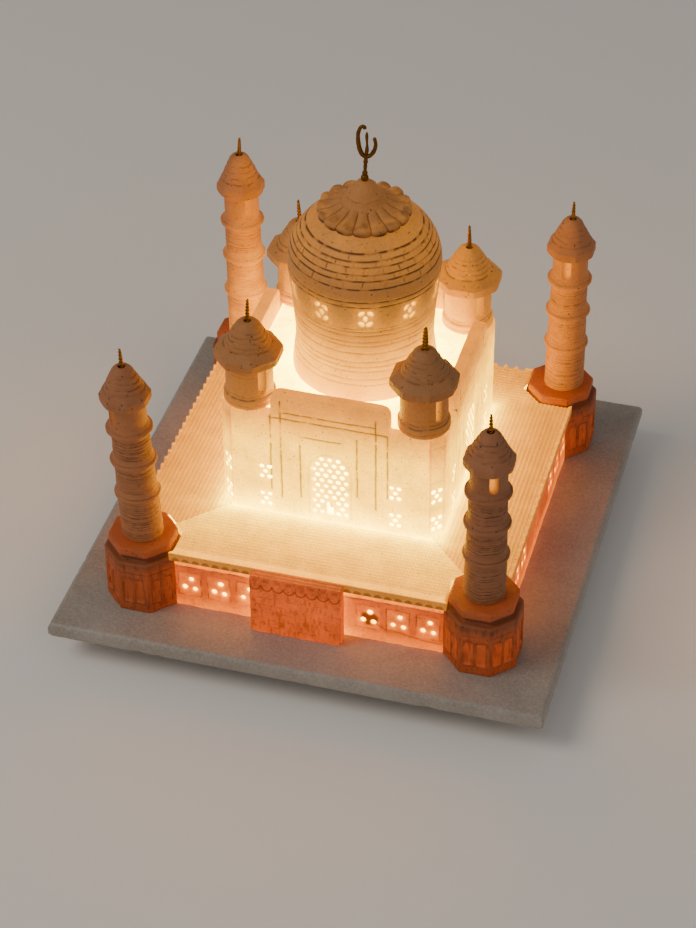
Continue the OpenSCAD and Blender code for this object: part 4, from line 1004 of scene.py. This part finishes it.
def domeCrown():
    # a cap cut in sixteen petals that flare to a thick rim, standing proud of the dome
    wide = dome["crownWide"]
    foot = hall["eaves"] + dome["belt"] + dome["rise"] * math.sqrt(1 - (18.8 / dome["wide"]) ** 2)
    outline = [(wide - 2.4, 0.4), (wide - 0.9, 0.1), (wide - 0.3, 0.7), (wide, 1.5), (wide, 2.7), (wide - 0.5, 3.2),
               (15.0, 3.5), (12.4, 4.1), (10.4, 5.0), (8.9, 6.0), (7.8, 7.2), (7.2, 8.4), (6.9, 9.2), (6.1, 10.2),
               (5.2, 11.6), (4.0, 13.1), (3.0, 14.1), (2.3, 14.8), (1.6, 15.05), (1.1, 15.05)]
    rows = softened(resample(outline, 0.22), 2)
    radius, z = rows[:, 0], rows[:, 1]
    columns = 360
    theta = np.arange(columns) * 2 * math.pi / columns
    flat = np.stack([np.cos(theta) * 5, np.sin(theta) * 5, 0 * theta], axis=1)
    bend = 0.12 * smoothStep(8, 17, radius)[:, None] * lumps(flat, 2.0, 212)[None, :]
    phase = (theta[None, :] * dome["petals"] / (2 * math.pi) + bend) % 1
    arc = 2 * math.pi / dome["petals"] * radius[:, None]
    valley = np.minimum(phase, 1 - phase) * arc
    reach = smoothStep(8.0, 10.0, radius)[:, None]
    scallop = 1 - np.sqrt(np.clip(1 - (2 * np.abs(phase - 0.5)) ** 2.4, 0, 1))
    r = radius[:, None] - 1.5 * scallop * smoothStep(15.2, wide - 0.3, radius)[:, None]
    cut = np.exp(-(valley / 0.2) ** 2) * reach
    swell = 0.9 * np.sin(math.pi * phase) * reach * smoothStep(2.0, 3.2, z)[:, None]
    zz = z[:, None] + swell - 0.3 * cut
    points = np.stack([r * np.cos(theta), r * np.sin(theta), zz], axis=-1).reshape(-1, 3)
    zz = zz + 0.3 * roughness(points, 2.6, 210).reshape(r.shape)
    r = r + 0.22 * roughness(points, 2.2, 214).reshape(r.shape) * smoothStep(2.5, 5, radius)[:, None]
    patch = smoothStep(-0.5, 0.6, roughness(points, 3.0, 216)).reshape(r.shape)
    # painted shadow: the lower part of the rim is darkened in patches with the pigment colour
    shadeUnderEdge = smoothStep(2.7, 1.7, z)[:, None] * (radius > 15)[:, None] * (0.35 + 0.6 * patch)
    lower = smoothStep(11.5, 15.5, radius)[:, None] * smoothStep(2.4, 3.4, z)[:, None]
    seam = np.exp(-((z - 9.0) / 0.3) ** 2)[:, None] * patch
    pigmentAndShade = np.maximum(np.maximum(0.8 * cut, 0.35 * lower * patch), np.maximum(0.4 * seam, shadeUnderEdge))
    glow = 0.1 + 0.12 * lower * (1 - patch)
    x, y = dome["x"] + r * np.cos(theta), dome["y"] + r * np.sin(theta)
    obj = turnedObject("petal_crown", x, y, zz + foot)
    return finishPiece(obj, domeStone, "hall", ["dome_crown"],
                       {"glow": np.append(glow.ravel(), [0.01, 0.01]),
                        "pigmentAndShade": np.append(pigmentAndShade.ravel(), [0, 0.8])})


domeShell()
domeCrown()
print("dome turned")


def sweptRings(path, radii, sides):
    # rings of points round a path, with its end points
    path = np.asarray(path, float)
    ahead = np.gradient(path, axis=0)
    ahead /= np.linalg.norm(ahead, axis=1)[:, None]
    side = np.cross(ahead, [0.31, 0.27, 0.91])
    side /= np.linalg.norm(side, axis=1)[:, None]
    up = np.cross(side, ahead)
    turn = np.arange(sides) * 2 * math.pi / sides
    ring = (path[:, None] + np.asarray(radii)[:, None, None]
            * (np.cos(turn)[None, :, None] * side[:, None] + np.sin(turn)[None, :, None] * up[:, None]))
    return ring


def sweptParts(parts):
    # several closed swept tubes as the vertices and faces of one mesh
    vertices, faces = [], []
    for path, radii, around in parts:
        ring = sweptRings(path, radii, around)
        rows = len(ring)
        first = sum(len(v) for v in vertices)
        faces += gridFaces(rows, around, True, first)
        faces.append([first + j for j in range(around - 1, -1, -1)])
        faces.append([first + (rows - 1) * around + j for j in range(around)])
        vertices.append(ring.reshape(-1, 3))
    return np.vstack(vertices), faces


def twistedPin(name, node, body, foot, tall, thick, lean):
    # two strands of wire twisted together, their ends rounded off
    z = np.linspace(-2.0, tall, 130)
    share = np.clip(z / tall, 0, 1)
    tip = np.sqrt(np.clip(1 - np.clip((share - 0.93) / 0.07, 0, 0.98) ** 2, 0, 1))
    strands = []
    for k in (0, math.pi):
        angle = z * 2 * math.pi / 3.0 + k
        off = 0.58 * thick * (1 - 0.45 * share ** 2)
        path = np.stack([off * np.cos(angle) + lean[0] * z, off * np.sin(angle) + lean[1] * z, z], axis=1)
        strands.append((path, 0.66 * thick * (1 - 0.45 * share ** 2) * tip, 12))
    vertices, faces = sweptParts(strands)
    obj = newObject(name, (vertices + foot) * mm, faces)
    return finishPiece(obj, pinBrass, body, [node])


for i in range(4):
    k = tower["tall"][i]
    top = (tower["top"] + tower["capTall"]) * k
    px, py, pz = standTower(i, 0.0, 0.0, top)
    twistedPin("wire_pin_" + corners[i], "tower_pin_" + corners[i], "tower_" + corners[i],
               np.array([px, py, pz]), 7.8, 0.74, (0.03 * (i - 1.5), 0.02))
    px, py = pavilionPlace(i)
    twistedPin("wire_spike_" + corners[i], "pavilion_pin_" + corners[i], "hall",
               np.array([px, py, hall["eaves"] + pavilion["tall"] + pavilion["capTall"]]), 10.0,
               1.1 if i == 1 else 0.76, (0.03 * (1.5 - i), -0.02))

finial = {"beads": ((1.2, 1.5), (3.2, 1.1), (8.2, 0.95)), "stemTop": 10.0, "turn": 8, "lean": 1.6, "wire": 0.72,
          "spike": (11.2, 21.4),
          "bow": ((-1.0, 22.2), (-1.3, 23.6), (-2.6, 23.6), (-3.6, 20.6), (-3.4, 17.2), (-2.7, 13.8), (-1.4, 11.0),
                  (0, 10.2), (1.8, 11.0), (3.1, 13.4), (3.4, 16.2), (2.5, 18.8))}


def domeFinial():
    # cast beads on a stem, and a crescent bent by hand from thick wire, with a blunt spike between its arms
    parts = []
    stem = np.linspace(-2, finial["stemTop"], 70)
    swell = 0.72 + 0.06 * np.sin(stem * 2.3)
    for at, radius in finial["beads"]:
        swell = np.maximum(swell, np.sqrt(np.maximum(0, radius ** 2 - (stem - at) ** 2)))
    parts.append((np.stack([0 * stem, 0 * stem, stem], axis=1), swell, 24))
    turn = math.radians(finial["turn"])
    facing = np.array([math.cos(turn), math.sin(turn), 0])
    bow = softened(resample(finial["bow"], 0.3), 14)
    share = np.linspace(-1, 1, len(bow))
    path = facing[None, :] * bow[:, :1] + np.array([0, 0, 1.0])[None, :] * bow[:, 1:]
    path += np.array([-facing[1], facing[0], 0])[None, :] * (0.5 * share ** 2)[:, None]
    knobs = 1 + 0.14 * lumps(path, 0.9, 220)
    blunt = np.sqrt(np.clip(1 - np.clip((np.abs(share) - 0.96) / 0.04, 0, 0.95) ** 2, 0, 1))
    parts.append((path, finial["wire"] * (1 + 0.25 * (1 - np.abs(share))) * knobs * blunt, 14))
    spike = np.linspace(*finial["spike"], 50)
    up = (spike - spike[0]) / (spike[-1] - spike[0])
    bulge = (0.62 + 0.16 * np.sin(up * 9)) * np.sqrt(np.clip(1 - up ** 6, 0.04, 1))
    parts.append((np.stack([0.2 * np.sin(up * 5), 0.1 * np.cos(up * 5) - 0.1, spike], axis=1), bulge, 12))
    vertices, faces = sweptParts(parts)
    vertices[:, 0] += finial["lean"] * smoothStep(-6, 30, vertices[:, 2])
    foot = nodeFoot("dome_finial") + 4.5
    obj = newObject("bent_finial", (vertices + [dome["x"], dome["y"], foot]) * mm, faces)
    return finishPiece(obj, finialBrass, "hall", ["dome_finial"])


def nodeFoot(node):
    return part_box(node)[0].z / mm


domeFinial()
print("brass fitted")

studio = {"floor": "#FBF8F3", "world": 0.31, "key": 8.0, "fill": 1.8}


def paleFloor():
    # a wide pale sheet, matt
    size = 3.0
    obj = newObject("floor", [(-size, -size, 0), (size, -size, 0), (size, size, 0), (-size, size, 0)],
                    [(0, 1, 2, 3)])
    material, tree, shader, place = newMaterial("mattFloor")
    shader.inputs["Base Color"].default_value = linear(studio["floor"])
    shader.inputs["Roughness"].default_value = 0.85
    shader.inputs["Specular IOR Level"].default_value = 0.2
    obj.data.materials.append(material)


def softLight(name, place, aim, size, power, colour):
    data = bpy.data.lights.new(name, "AREA")
    data.shape = "DISK"
    data.size = size
    data.energy = power
    data.color = linear(colour)[:3]
    obj = bpy.data.objects.new(name, data)
    bpy.context.scene.collection.objects.link(obj)
    obj.location = place
    obj.rotation_euler = (Vector(aim) - Vector(place)).to_track_quat("-Z", "Y").to_euler()


paleFloor()
softLight("key", (-0.9, -0.7, 1.3), (0, 0, 0.08), 0.9, studio["key"], "#FFF4E8")
softLight("fill", (1.1, -0.9, 0.9), (0, 0, 0.08), 1.2, studio["fill"], "#EEF2FF")
world = bpy.data.worlds.new("studio")
world.use_nodes = True
world.node_tree.nodes["Background"].inputs["Color"].default_value = linear("#E9E4DE")
world.node_tree.nodes["Background"].inputs["Strength"].default_value = studio["world"]
bpy.context.scene.world = world
print("studio lit")
